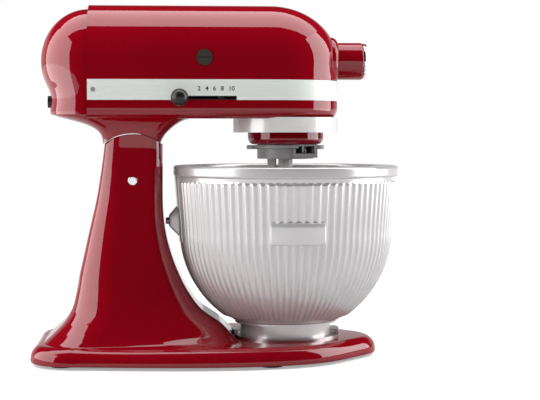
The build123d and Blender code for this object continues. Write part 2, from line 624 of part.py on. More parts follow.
def dasher():
    """Post, two curved blades with windows, and a side lug that the drive tab pushes."""
    reach = liner_solid(-SCRAPE_GAP, BLADE_TOP) - rod_z(DASHER_HUB_R - 1, LINER_FLOOR_Z, BLADE_TOP + 1)
    low_z = LINER_FLOOR_Z + 20
    mid_z = (low_z + BLADE_TOP - 14) / 2
    outer = LINER_TOP_R - BLADE_RIM
    for z0, z1 in ((low_z, mid_z - 5), (mid_z + 5, BLADE_TOP - 14)):
        reach = reach - lathe([(24, z0), (outer - 2, z0), (outer + 2, z1), (24, z1)])
    chord = LINER_FLAT_R + LINER_BEND_R
    centre = (chord / 2, -math.sqrt(BLADE_ARC_R ** 2 - chord ** 2 / 4))
    ring = Cylinder(BLADE_ARC_R + BLADE_THICK / 2, 2 * FAR) - Cylinder(BLADE_ARC_R - BLADE_THICK / 2, 2 * FAR)
    ring = Pos(*centre, 0) * ring
    strip = ring & block(0, 2 * chord, -1, BLADE_ARC_R, 0, FAR)
    blade = reach & strip
    post = rod_z(9, LINER_FLOOR_Z + 0.3, BLADE_TOP + 8) + rod_z(DASHER_HUB_R, BLADE_TOP, DASHER_TOP)
    plate_z = DASHER_TOP - 14
    arm = block(LUG_X0, 0, -4, 4, plate_z - 4, plate_z)
    lug = block(LUG_X0, LUG_X1, -3.5, 3.5, plate_z - 1, DASHER_TOP)
    body = post + blade + Rot(0, 0, 180) * blade + arm + lug
    return body - rod_z(PIP_R + RUNNING, LINER_FLOOR_Z - 1, LINER_FLOOR_Z + PIP_TALL + 1)


# ---------------------------------------------------------------- head shells

def head_form(inset, rear_x):
    """Head outer form drawn in by inset: round top, straight sides and a half-elliptic nose."""
    r = HEAD_R - inset
    length = NOSE_LENGTH - inset
    quarter = make_face(Curve([
        Polyline((NOSE_X + length, 0), (rear_x, 0), (rear_x, r), (NOSE_X, r)),
        EllipticalCenterArc((NOSE_X, 0), length, r, start_angle=0, arc_size=90),
    ]))
    top = Pos(0, 0, HEAD_Z) * revolve(quarter, Axis.X, 180)
    plan = make_face(Curve([
        Polyline((NOSE_X, r), (rear_x, r), (rear_x, -r), (NOSE_X, -r)),
        EllipticalCenterArc((NOSE_X, 0), length, r, start_angle=-90, arc_size=180),
    ]))
    low_z = HEAD_BOTTOM + (inset if inset else 0)
    lower = Pos(0, 0, low_z) * raised(plan, HEAD_Z - low_z)
    rim = lower.faces().sort_by(Axis.Z)[0].edges().filter_by(lambda e: e.center().X > rear_x + 1)
    return fillet(rim, max(HEAD_EDGE - inset, 2.0)) + top


def cover_form(inset):
    """Rear cover form: a dome above its middle, drawn in below it."""
    r = COVER_R - inset
    long = COVER_LENGTH - inset
    short = COVER_LOW_LENGTH - inset
    quarter = make_face(Curve([
        Polyline((SEAM_X - long, 0), (SEAM_X, 0), (SEAM_X, r)),
        EllipticalCenterArc((SEAM_X, 0), long, r, start_angle=90, arc_size=90),
    ]))
    top = Pos(0, 0, HEAD_Z) * revolve(quarter, Axis.X, 180)
    low_z = COVER_BOTTOM + inset
    loops = []
    for z in [low_z] + [HEAD_Z - drop for drop in (44.6, 34.6, 26.6, 16.6, 8.6, 2.6, 0)]:
        share = math.sqrt(max(1 - ((HEAD_Z - z) / r) ** 2, 0.0))
        depth = max(short, long * share)
        loops.append(Wire(Curve([
            Line((SEAM_X, -r, z), (SEAM_X, r, z)),
            Pos(0, 0, z) * EllipticalCenterArc((SEAM_X, 0), depth, r, start_angle=90, arc_size=180),
        ]).edges()))
    return top + Solid.make_loft(loops)


def band_groove(depth):
    """Ring-shaped cut round the head where the trim band sits."""
    slab = block(SEAM_X - 1, FAR, -FAR, FAR, BAND_BOTTOM, BAND_TOP)
    return slab - head_form(depth, SEAM_X - 2)


def hub_form():
    """The attachment hub outside the head, with a root that spreads into the nose."""
    root_r = HUB_R + HUB_FLARE
    root_x = NOSE_X + NOSE_LENGTH * math.sqrt(1 - (root_r / HEAD_R) ** 2)
    flare_x = root_x + 1.25 * HUB_FLARE
    inside = root_x - 8
    profile = make_face(Curve([
        Polyline((flare_x, HUB_R), (flare_x, 0), (inside, 0), (inside, root_r), (root_x, root_r)),
        RadiusArc((root_x, root_r), (flare_x, HUB_R), 1.3 * HUB_FLARE),
    ]))
    tube = rod_x(HUB_R, inside, HUB_END, 0, DRIVE_Z)
    tube = fillet(tube.edges().sort_by(Axis.X)[-1], 2.0)
    return tube + Pos(0, 0, DRIVE_Z) * revolve(profile, Axis.X, 360)


def hub_ears():
    """Two ears on the hub's front rim that hold the cover's pin."""
    ears = []
    for side in (-1, 1):
        y0 = min(side * (COVER_BARREL_HALF + 0.2), side * COVER_EAR_END)
        y1 = max(side * (COVER_BARREL_HALF + 0.2), side * COVER_EAR_END)
        tall = COVER_BARREL_R
        root = block(HUB_END - 2, COVER_PIN_X, y0, y1, COVER_PIN_Z - tall, COVER_PIN_Z + tall)
        ears.append(root + rod_y(tall, y0, y1, COVER_PIN_X, COVER_PIN_Z))
    return ears[0] + ears[1]


def motor_housing():
    """Upper head shell with the attachment hub on its nose and seats for the motor."""
    shell = head_form(0, SEAM_X) - head_form(HEAD_WALL, SEAM_X - 2)
    body = shell & block(-FAR, FAR, -FAR, FAR, SPLIT_Z, 2 * FAR)
    body = body + hub_form() + hub_ears()
    seats = rod_x(HEAD_R - 1, CORE_X0 + 2, CORE_X1 - 2, 0, HEAD_Z) - rod_x(STATOR_R, -FAR, 0, 0, DRIVE_Z)
    wedge = make_face(Plane.YZ * Polyline((0, DRIVE_Z), (-30, DRIVE_Z + 82), (30, DRIVE_Z + 82), close=True))
    wedge = extrude(wedge, FAR, both=True)
    body = body + (seats & wedge & block(-FAR, FAR, -FAR, FAR, SPLIT_Z, HEAD_Z + HEAD_R - 1))
    body = body - rod_x(HUB_BORE_R, HUB_SEAT_X, HUB_END + 0.5, 0, DRIVE_Z)
    body = body - rod_x(SOCKET_R + 0.5, SOCKET_X - 1, HUB_SEAT_X + 1, 0, DRIVE_Z)
    body = body - rod_x(8 + RUNNING, 20, 60, 0, DRIVE_Z)
    body = body - band_groove(BAND_SEAT)
    for y in (-1, 1):
        body = body - rod_y(BRUSH_CAP_R + 0.2, min(y * 40, y * 70), max(y * 40, y * 70), BRUSH_X, BRUSH_Z)
    body = body - rod_y(KNOB_SCREW_R + RUNNING, 10, 30, KNOB_SCREW_X, DRIVE_Z) - trim_screw_holes()
    return body - rod_y(COVER_PIN_R, -30, 30, COVER_PIN_X, COVER_PIN_Z)


# Each row: height from the head's underside; the rest is as in COLUMN_PROFILE.
NECK_PROFILE = [
    (-33, -58.5, -2, 38, 38, 14, 14),
    (-21, -59.2, -0.9, 38.4, 38.4, 14, 14),
    (-13, -63, 4.7, 40, 40, 15, 15),
    (-6.7, -73, 12, 43.5, 43.5, 17, 16),
    (-2.1, -88, 20.1, 47, 47, 24, 18),
    (1.5, -102, 32, 49.5, 51, 32, 20),
    (COVER_BOTTOM - HEAD_BOTTOM, -109, 40, 50, 53, 37, 22),
]


def neck_sections():
    """Level outlines of the neck at their real heights and places."""
    return [(HEAD_BOTTOM + z, COLUMN_FRONT_X + rear, COLUMN_FRONT_X + front, *rest)
            for z, rear, front, *rest in NECK_PROFILE]


def gearcase_housing():
    """Lower head shell with the neck, the hinge knuckle and the boss for the planetary."""
    shell = head_form(0, SEAM_X) - head_form(HEAD_WALL, SEAM_X - 2)
    body = shell & block(-FAR, FAR, -FAR, FAR, 0, SPLIT_Z)
    body = body + loft_sections(neck_sections())
    body = body - rod_y(NECK_ARC_R, -FAR, FAR, HINGE_X, HINGE_Z)
    body = body + hinge_wedge(KNUCKLE_R - 4, NECK_ARC_R + 4, KNUCKLE_HALF, STEM_DEG0, STEM_DEG1)
    body = body + rod_y(KNUCKLE_R, -KNUCKLE_HALF, KNUCKLE_HALF, HINGE_X, HINGE_Z)
    body = body - rod_y(PIN_R + RUNNING, -FAR, FAR, HINGE_X, HINGE_Z)
    boss = rod_z(DRIP_R - DRIP_WALL, HEAD_BOTTOM - 10, DRIP_TOP - 0.3)
    boss = boss - rod_z(BOSS_R, HEAD_BOTTOM - 19, HEAD_BOTTOM)
    body = body + boss + rod_z(CENTER_BUSH_R + 5, HEAD_BOTTOM, HEAD_BOTTOM + 17)
    body = body - rod_z(CENTER_BUSH_R, HEAD_BOTTOM - 19, HEAD_BOTTOM + 21)
    body = body - band_groove(BAND_SEAT)
    body = body - block(SLOT_X0, SLOT_X1, -70, -40, SLOT_BOTTOM, SLOT_TOP)
    channel = block(LOCK_X - 7.3, LOCK_X + 7.3 + LOCK_TRAVEL, -LOCK_TIP_Y - 0.3, LOCK_TIP_Y + 0.3,
                    LOCK_Z - 2.8, LOCK_Z + 2.8)
    slot = block(LOCK_X - 3.3, LOCK_X + 3.3 + LOCK_TRAVEL, LOCK_TIP_Y - 4, 60, LOCK_Z - 3.3, LOCK_Z + 3.3)
    return body - channel - slot - trim_screw_holes() - Compound(children=ring_gear_screws())


def rear_cover():
    """Domed cover behind the seam."""
    shell = cover_form(0) - cover_form(HEAD_WALL)
    open_face = block(SEAM_X - 6, SEAM_X + 10, -COVER_R + HEAD_WALL, COVER_R - HEAD_WALL,
                      COVER_BOTTOM + HEAD_WALL, HEAD_Z)
    mouth = rod_x(COVER_R - HEAD_WALL, SEAM_X - 6, SEAM_X + 10, 0, HEAD_Z)
    cover = shell - open_face - mouth
    cover = cover - rod_x(GLAND_R, -FAR, SEAM_X - 10, 0, GLAND_Z)
    return cover - rod_x(COVER_SCREW_R, -FAR, SEAM_X - 20, 0, HEAD_Z)


def trim_band():
    """Bright band round the head, notched along its lower edge for the speed slot."""
    slab = block(SEAM_X + 0.5, FAR, -FAR, FAR, BAND_BOTTOM, BAND_TOP)
    ring = (head_form(BAND_SEAT - BAND_THICK, SEAM_X) & slab) - (head_form(BAND_SEAT, SEAM_X - 2) & slab)
    return ring - block(SLOT_X0, SLOT_X1, -70, -40, SLOT_BOTTOM - 1, SLOT_TOP) - trim_screw_holes()


def drip_ring():
    """Bright ring round the planetary, seated up against the head."""
    ring = rod_z(DRIP_R, DRIP_BOTTOM, DRIP_TOP) - rod_z(DRIP_R - DRIP_WALL, 0, FAR)
    return ring - head_form(0, SEAM_X)


# ---------------------------------------------------------------- fixed pieces in the head

def trim_screws():
    """Small screw at each rear end of the trim band."""
    shank = rod_y(TRIM_SCREW_R, -HEAD_R - 0.9, HEAD_R + 0.9, SEAM_X + 6, SPLIT_Z)
    return (shank - block(-FAR, 0, -HEAD_R + 2, HEAD_R - 2, 0, FAR)).solids()


def trim_screw_holes():
    """Holes for the trim screws right across the head."""
    return rod_y(TRIM_SCREW_R, -HEAD_R - 2, HEAD_R + 2, SEAM_X + 6, SPLIT_Z)


def rear_cover_screw():
    """Screw through the top of the rear cover's rim."""
    return rod_x(COVER_SCREW_R, SEAM_X - COVER_LENGTH + 0.2, SEAM_X - COVER_LENGTH + 12, 0, HEAD_Z)


def slot_liner():
    """Dark lining of the speed slot."""
    outer = block(SLOT_X0, SLOT_X1, -HEAD_R - 0.2, -HEAD_R + 6, SLOT_BOTTOM, SLOT_TOP)
    return outer - block(SLOT_X0 + 1, SLOT_X1 - 1, -HEAD_R - 1, -HEAD_R + 7, SLOT_BOTTOM + 0.7, SLOT_TOP - 0.7)


def brush_caps():
    """Slotted caps that close the brush holders."""
    caps = []
    for side in (-1, 1):
        y0 = side * (HEAD_R - 3.5)
        y1 = side * (HEAD_R + 0.6)
        cap = rod_y(BRUSH_CAP_R, min(y0, y1), max(y0, y1), BRUSH_X, BRUSH_Z)
        slot_y = side * (HEAD_R + 0.3)
        cap = cap - block(BRUSH_X - 9, BRUSH_X + 9, slot_y - 0.9, slot_y + 0.9, BRUSH_Z - 0.9, BRUSH_Z + 0.9)
        caps.append(cap)
    return caps


def both_sides(r_out, r_in, near, far, z=DRIVE_Z):
    """Pair of round tubes along Y at the brushes, one on each side."""
    pair = []
    for side in (-1, 1):
        y0 = min(side * near, side * far)
        y1 = max(side * near, side * far)
        tube = rod_y(r_out, y0, y1, BRUSH_X, z)
        pair.append(tube - rod_y(r_in, y0 - 1, y1 + 1, BRUSH_X, z) if r_in else tube)
    return pair


def brush_holders():
    """Insulated tubes that guide the brushes and seat against the housing wall."""
    return both_sides(6.4, 4.2, COMMUTATOR_R + 2, HEAD_R - 3.5)


def carbon_brushes():
    """Carbon rods that stop just short of the commutator."""
    return both_sides(4.2, None, COMMUTATOR_R + 0.3, COMMUTATOR_R + 16)


def brush_springs():
    """Coil springs behind the brushes, as tubes of the spring's own size."""
    return both_sides(3.6, 2.6, COMMUTATOR_R + 16, HEAD_R - 3.5)


def stator_core():
    """Laminated ring with two pole faces."""
    past = CORE_X0 - 1, CORE_X1 + 1
    ring = rod_x(STATOR_R, CORE_X0, CORE_X1, 0, DRIVE_Z) - rod_x(POLE_R, *past, 0, DRIVE_Z)
    poles = rod_x(POLE_R + 0.5, CORE_X0, CORE_X1, 0, DRIVE_Z) - rod_x(ARMATURE_R + 0.7, *past, 0, DRIVE_Z)
    return ring + (poles - block(*past, -14, 14, DRIVE_Z - 50, DRIVE_Z + 50))


def field_coils():
    """Two wound coils, one above and one below, that turn round the ends of the poles."""
    coils = []
    ends = CORE_X0 - 7, CORE_X1 + 7
    past = CORE_X0 - 9, CORE_X1 + 9
    for side in (-1, 1):
        loop = rod_x(POLE_R + 3, *ends, 0, DRIVE_Z) - rod_x(POLE_R - 5, *past, 0, DRIVE_Z)
        loop = loop - rod_x(50, CORE_X0, CORE_X1, 0, DRIVE_Z)
        runs = rod_x(POLE_R - 0.4, *ends, 0, DRIVE_Z) - rod_x(POLE_R - 5, *past, 0, DRIVE_Z)
        runs = runs & block(*past, -13.5, 13.5, DRIVE_Z + 14, DRIVE_Z + 50)
        coil = (loop & block(*past, -32, 32, DRIVE_Z + 14, DRIVE_Z + 50)) + runs
        coils.append(coil if side > 0 else mirror(coil, Plane.XY.offset(DRIVE_Z)))
    return coils


def rear_bearing_bracket():
    """Upright plate across the head that holds the rear end of the motor."""
    plate = block(REAR_BEARING_X - 2, REAR_BEARING_X + 2, -34, 34, HEAD_BOTTOM + 12, DRIVE_Z + 41)
    plate = plate & rod_x(HEAD_R - HEAD_WALL, -FAR, 0, 0, HEAD_Z) + block(
        REAR_BEARING_X - 2, REAR_BEARING_X + 2, -34, 34, HEAD_BOTTOM + HEAD_WALL, DRIVE_Z)
    for y in (-22, 22):
        plate = plate - rod_x(8, -FAR, 0, y, DRIVE_Z + 16) - rod_x(8, -FAR, 0, y, DRIVE_Z - 18)
    hub = rod_x(BUSH_R + 4, REAR_BEARING_X - 4, REAR_BEARING_X + 4, 0, DRIVE_Z)
    return plate + hub - rod_x(BUSH_R, -FAR, 0, 0, DRIVE_Z)


def transmission_bracket():
    """Casting on the head's floor that carries the front of the motor and the transfer shaft."""
    floor = HEAD_BOTTOM + HEAD_WALL
    plate = block(POST_X0, 12, -20, TRANSFER_Y + 14, floor, floor + 6)
    plate = plate - rod_z(CENTER_BUSH_R + 5.2, 0, FAR)
    post = block(POST_X0, POST_X1, -17, 17, floor, BRIDGE_Z + 5)
    bridge = block(POST_X0, NOSE_POST_X1, -9, TRANSFER_Y + 9, BRIDGE_Z, BRIDGE_Z + 5)
    nose_post = block(NOSE_POST_X0, NOSE_POST_X1, -9, 7.3, DRIVE_Z - 9, BRIDGE_Z + 1)
    body = plate + post + bridge + nose_post
    body = body - rod_x(BUSH_R, POST_X0 - 1, POST_X1 + 1, 0, DRIVE_Z)
    body = body - rod_x(NOSE_BUSH_R, NOSE_POST_X0 - 1, NOSE_POST_X1 + 1, 0, DRIVE_Z)
    return body - rod_z(4 + RUNNING, floor, FAR, TRANSFER_X, TRANSFER_Y)


def armature_bushes():
    """Three bronze bushes for the motor shaft."""
    rear = rod_x(BUSH_R, REAR_BEARING_X - 4, REAR_BEARING_X + 4, 0, DRIVE_Z)
    front = rod_x(BUSH_R, POST_X0, POST_X1, 0, DRIVE_Z)
    nose = rod_x(NOSE_BUSH_R, NOSE_POST_X0, NOSE_POST_X1, 0, DRIVE_Z)
    bore = rod_x(SHAFT_R + RUNNING, -FAR, WORM_X0, 0, DRIVE_Z)
    bore = bore + rod_x(NOSE_SHAFT_R + RUNNING, WORM_X0, 0, 0, DRIVE_Z)
    return [rear - bore, front - bore, nose - bore]


def ring_gear():
    """Fixed gear with inward teeth under the head, bolted on by its flange."""
    phase = AGITATOR_DEG
    ring = rod_z(32, RING_Z0, RING_Z1) + rod_z(RING_FLANGE_R, RING_Z1, HEAD_BOTTOM)
    opening = toothed_disc(RING_TEETH, RING_MODULE, RING_Z0 - 1, HEAD_BOTTOM + 1, 0, phase, 0.40, inner=True)
    return ring - opening - Compound(children=ring_gear_screws())


def ring_gear_screws():
    """Four countersunk screws that hold the ring gear to the floor of the head."""
    screws = []
    for i in range(4):
        angle = math.radians(45 + 90 * i)
        x, y = RING_SCREW_PCR * math.cos(angle), RING_SCREW_PCR * math.sin(angle)
        cone = Pos(x, y, RING_Z1 + 0.9) * Cone(2 * RING_SCREW_R, RING_SCREW_R, 1.8)
        screws.append(rod_z(RING_SCREW_R, RING_Z1 + 1, HEAD_BOTTOM + HEAD_WALL, x, y) + cone)
    return screws


def control_plate():
    """Round plate behind the governor, on two posts from the bearing bracket."""
    x = SEAM_X - CONTROL_PLATE_BACK
    plate = rod_x(CONTROL_PLATE_R, x, x + 1.6, 0, DRIVE_Z)
    plate = plate - block(x - 1, x + 3, -8, 8, DRIVE_Z - CONTROL_PLATE_R - 1, DRIVE_Z - 15)
    for y in (-26, 26):
        plate = plate + rod_x(3, x + 1, REAR_BEARING_X - 2, y, DRIVE_Z)
    return plate


def center_shaft_bush():
    """Flanged bush in the floor of the head for the centre shaft."""
    return rod_z(CENTER_BUSH_R, HEAD_BOTTOM - 3, HEAD_BOTTOM + 17) - rod_z(CENTER_SHAFT_R + RUNNING, 0, FAR)


def cord_gland():
    """Round gland at the lower rear of the head where a mains lead would leave."""
    x = SEAM_X - COVER_LOW_LENGTH
    return rod_x(GLAND_R, x - 3, x + 8, 0, GLAND_Z) - rod_x(GLAND_R / 2, -FAR, 0, 0, GLAND_Z)


def hub_cover_pin():
    """Pin the hub cover swings on."""
    return rod_y(COVER_PIN_R, -COVER_EAR_END, COVER_EAR_END, COVER_PIN_X, COVER_PIN_Z)


# ---------------------------------------------------------------- moving pieces in the head

def speed_knob():
    """Ball knob on the end of the speed lever."""
    ball = Pos(KNOB_X, KNOB_Y, KNOB_Z) * Sphere(KNOB_R)
    neck = rod_y(3.0, KNOB_Y, -HEAD_R - 2.0, KNOB_X, KNOB_Z)
    return ball + neck - rod_y(LEVER_R, KNOB_Y + 4, -HEAD_R, KNOB_X, KNOB_Z)


def speed_lever_arm():
    """Flat arm through the slot, joined to a link that runs back to the control plate."""
    stem = rod_y(LEVER_R, KNOB_Y + 4, LINK_Y, KNOB_X, KNOB_Z)
    link = block(LINK_END_X, KNOB_X + 4, LINK_Y - 1.2, LINK_Y + 1.2, KNOB_Z - 5, KNOB_Z + 5)
    return stem + link


def lock_knob():
    """Round-ended knob of the head lock, on the side away from the speed lever."""
    knob = rod_y(6, COLUMN_HALF + 9.5, COLUMN_HALF + 17, LOCK_X, LOCK_Z)
    return fillet(knob.edges(), 2.0) + rod_y(3, LOCK_TIP_Y, COLUMN_HALF + 10, LOCK_X, LOCK_Z)


def lock_bolt():
    """Flat bolt inside the neck that the lock knob carries."""
    return block(LOCK_X - 7, LOCK_X + 7, -LOCK_TIP_Y, LOCK_TIP_Y, LOCK_Z - 2.5, LOCK_Z + 2.5)


def armature_shaft():
    """Motor shaft that ends in the worm and a journal."""
    shaft = rod_x(SHAFT_R, SEAM_X + 4, WORM_X0, 0, DRIVE_Z)
    worm = rod_x(WORM_R - 1.15 * WORM_MODULE, WORM_X0, NOSE_POST_X0 - 0.5, 0, DRIVE_Z)
    return shaft + worm + rod_x(NOSE_SHAFT_R, NOSE_POST_X0 - 3, NOSE_POST_X1 + 1, 0, DRIVE_Z)


def armature_core():
    """Slotted laminated core."""
    core = rod_x(ARMATURE_R, CORE_X0, CORE_X1, 0, DRIVE_Z) - rod_x(SHAFT_R, -FAR, 0, 0, DRIVE_Z)
    for i in range(12):
        slot = block(-FAR, 0, -1.5, 1.5, ARMATURE_R - 9, ARMATURE_R + 1)
        slot = Pos(0, 0, DRIVE_Z) * Rot(30 * i, 0, 0) * slot
        core = core - slot
    return core


def commutator():
    """Copper ring that the brushes press on."""
    ring = rod_x(COMMUTATOR_R, BRUSH_X - COMMUTATOR_HALF, BRUSH_X + COMMUTATOR_HALF, 0, DRIVE_Z)
    return ring - rod_x(SHAFT_R, -FAR, 0, 0, DRIVE_Z)


def cooling_fan():
    """Fan with straight blades behind the motor."""
    fan = rod_x(11, FAN_X0, FAN_X1, 0, DRIVE_Z)
    for i in range(9):
        fan = fan + Pos(0, 0, DRIVE_Z) * Rot(40 * i, 0, 0) * block(FAN_X0, FAN_X1, -0.9, 0.9, 8, FAN_R)
    fan = fan + rod_x(FAN_R, FAN_X1 - 1.5, FAN_X1, 0, DRIVE_Z)
    return fan - rod_x(SHAFT_R, -FAR, 0, 0, DRIVE_Z)


def governor():
    """Centrifugal governor on the rear end of the motor shaft."""
    x = SEAM_X + 4
    hub = rod_x(9, x, x + 9, 0, DRIVE_Z)
    for y in (-13, 13):
        hub = hub + block(x + 1, x + 8, y - 5, y + 5, DRIVE_Z - 4, DRIVE_Z + 4)
    return hub - rod_x(SHAFT_R, -FAR, 0, 0, DRIVE_Z)


def worm_wheel():
    """Fibre wheel driven by the worm."""
    wheel = toothed_disc(WHEEL_TEETH, WORM_MODULE, WHEEL_Z0, WHEEL_Z1, 5, -90.0)
    return Pos(TRANSFER_X, TRANSFER_Y, 0) * wheel


def transfer_pinion():
    """Upright shaft under the worm wheel with the pinion cut on it."""
    toward = math.degrees(math.atan2(-TRANSFER_Y, -TRANSFER_X))
    gap = toward + 180 / PINION_TEETH
    pinion = toothed_disc(PINION_TEETH, GEAR_MODULE, GEAR_Z0 - 1, GEAR_Z1 + 1, 3, gap)
    pinion = Pos(TRANSFER_X, TRANSFER_Y, 0) * pinion
    floor = HEAD_BOTTOM + HEAD_WALL
    shaft = rod_z(4, floor + 1, BRIDGE_Z + 5, TRANSFER_X, TRANSFER_Y)
    collar = rod_z(5, GEAR_Z1, WHEEL_Z1 + 1, TRANSFER_X, TRANSFER_Y)
    return pinion + shaft + collar


def center_gear():
    """Large gear on the centre shaft."""
    toward = math.degrees(math.atan2(TRANSFER_Y, TRANSFER_X))
    return toothed_disc(CENTER_TEETH, GEAR_MODULE, GEAR_Z0, GEAR_Z1, CENTER_SHAFT_R, toward)


def center_shaft():
    """Upright shaft from the planetary to the bevel gear."""
    return rod_z(CENTER_SHAFT_R, PLANET_BOTTOM + 3, DRIVE_Z - BEVEL_R - 4)


def bevel_gear(bore, clock_deg):
    """Bevel gear of a one to one pair, about +Z with its apex at the origin."""
    back = -BEVEL_R - 5
    face = -BEVEL_R + 7.2
    blank = lathe([(0, back), (10, back), (BEVEL_R + 0.2, -BEVEL_R - 0.6), (BEVEL_R - 0.6, -BEVEL_R + 0.5),
                   (BEVEL_R - 7.4, face), (0, face)])
    for i in range(BEVEL_TEETH):
        gap = Pos(BEVEL_R, 0, -BEVEL_R) * Rot(0, 45, 0) * Box(2.4, BEVEL_SLOT, 3 * BEVEL_R)
        blank = blank - Rot(0, 0, clock_deg + i * 360 / BEVEL_TEETH) * gap
    return blank - Cylinder(bore, 100)


def shaft_bevel_gear():
    """Bevel gear on top of the centre shaft."""
    return Pos(0, 0, DRIVE_Z - 0.6) * bevel_gear(CENTER_SHAFT_R, 0.0)


def hub_bevel_gear():
    """Bevel gear on the inner end of the hub socket."""
    return Pos(0.6, 0, DRIVE_Z) * Rot(0, -90, 0) * bevel_gear(SHAFT_R, 180 / BEVEL_TEETH)


def hub_socket():
    """Socket that turns an attachment by its square shank."""
    shank = rod_x(SHAFT_R, 10, 24, 0, DRIVE_Z)
    journal = rod_x(8, 24, SOCKET_X, 0, DRIVE_Z)
    cup = rod_x(SOCKET_R, SOCKET_X, HUB_SEAT_X - 0.5, 0, DRIVE_Z)
    square = block(SOCKET_X + 1, HUB_SEAT_X + 1, -4.75, 4.75, DRIVE_Z - 4.75, DRIVE_Z + 4.75)
    return shank + journal + cup - square


def hub_cover():
    """Hinged cover over the hub, gently domed, with the barrel that its pin runs in."""
    back = HUB_END + 0.4
    front = back + HUB_COVER_THICK
    r = HUB_R - 1.0
    edge = 1.2
    dome_r = HUB_R - 2.5
    profile = make_face(Curve([
        Polyline((front + HUB_COVER_BULGE, 0), (back, 0), (back, r), (front - edge, r)),
        ThreePointArc((front - edge, r), (front - 0.293 * edge, r - 0.293 * edge), (front, r - edge)),
        Line((front, r - edge), (front, dome_r)),
        ThreePointArc((front, dome_r), (front + 0.75 * HUB_COVER_BULGE, dome_r / 2), (front + HUB_COVER_BULGE, 0)),
    ]))
    disc = Pos(0, 0, DRIVE_Z) * revolve(profile, Axis.X, 360)
    clear = COVER_EAR_END + 0.4
    notch_z = COVER_PIN_Z - COVER_BARREL_R - 0.8
    disc = disc - block(back - 1, front + 5, -clear, clear, notch_z, FAR)
    web = block(back, front, -COVER_BARREL_HALF, COVER_BARREL_HALF, notch_z - 2, COVER_PIN_Z)
    barrel = rod_y(COVER_BARREL_R, -COVER_BARREL_HALF, COVER_BARREL_HALF, COVER_PIN_X, COVER_PIN_Z)
    return disc + web + barrel - rod_y(COVER_PIN_R + RUNNING, -10, 10, COVER_PIN_X, COVER_PIN_Z)


def attachment_knob():
    """Clamp knob on the side of the hub, with its screw into the bore's wall."""
    grip = rod_y(9.5, HUB_R + 2.5, HUB_R + 14, KNOB_SCREW_X, DRIVE_Z)
    for i in range(8):
        angle = math.radians(45 * i)
        flute_x = KNOB_SCREW_X + 10.8 * math.cos(angle)
        grip = grip - rod_y(2.6, 0, 60, flute_x, DRIVE_Z + 10.8 * math.sin(angle))
    return grip + rod_y(KNOB_SCREW_R, HUB_BORE_R + 1, HUB_R + 3, KNOB_SCREW_X, DRIVE_Z)


def planetary_hub():
    """Round red carrier under the head, with the agitator's bearing."""
    top = RING_Z1 - 2
    body = rod_z(PLANET_R, PLANET_BOTTOM, top) - rod_z(PLANET_R - 3.5, PLANET_BOTTOM + 9.5, FAR)
    body = fillet(body.edges().sort_by(Axis.Z)[0], 6.0)
    body = body + rod_z(9, PLANET_BOTTOM + 5, RING_Z0 + 8)
    x, y = agitator_place()
    body = body - rod_z(CENTER_SHAFT_R, PLANET_BOTTOM + 3, FAR)
    return body - rod_z(AGITATOR_R + RUNNING, 0, FAR, x, y)


def agitator_place():
    """Centre of the agitator shaft at rest."""
    angle = math.radians(AGITATOR_DEG)
    return AGITATOR_OFFSET * math.cos(angle), AGITATOR_OFFSET * math.sin(angle)


def agitator_shaft():
    """Shaft the beater would hang from."""
    x, y = agitator_place()
    return rod_z(AGITATOR_R, AGITATOR_END, RING_Z1 + 1, x, y)


def agitator_pinion():
    """Pinion on the beater shaft that rolls round inside the ring gear."""
    x, y = agitator_place()
    phase = AGITATOR_DEG + 180 / AGITATOR_TEETH
    return Pos(x, y, 0) * toothed_disc(AGITATOR_TEETH, RING_MODULE, RING_Z0 + 1, RING_Z1, AGITATOR_R, phase)


def drive_ring():
    """Moulded drive piece clipped under the planetary, with the tab that turns the dasher."""
    flange_z = DRIVE_WING_Z + 1.0
    wing_top = DRIVE_WING_Z + DRIVE_WING_THICK
    body = rod_z(DRIVE_BODY_R, DRIVE_BODY_BOTTOM, PLANET_BOTTOM) + rod_z(DRIVE_FLANGE_R, flange_z, wing_top)
    arm_end = DRIVE_WING_R - DRIVE_WING_HALF
    for side in (-1, 1):
        arm = block(min(0, side * arm_end), max(0, side * arm_end), -DRIVE_WING_HALF, DRIVE_WING_HALF,
                    DRIVE_WING_Z, wing_top)
        body = body + arm + rod_z(DRIVE_WING_HALF, DRIVE_WING_Z, wing_top, side * arm_end, 0)
    frame_y = -(DRIVE_BODY_R + 1)
    body = body + block(WINDOW_X0 - 3, WINDOW_X1 + 3, frame_y, -12, DRIVE_BODY_BOTTOM + 1.2, PLANET_BOTTOM)
    x, y = agitator_place()
    body = body - rod_z(8, AGITATOR_END - 0.5, FAR, x, y)
    body = body - block(WINDOW_X0, WINDOW_X1, frame_y - 1, y, WINDOW_Z0, WINDOW_Z1)
    tab = sector(11, 18, DRIVE_BODY_BOTTOM - 9.5, DRIVE_BODY_BOTTOM + 1, TAB_DEG, 9)
    return body + tab


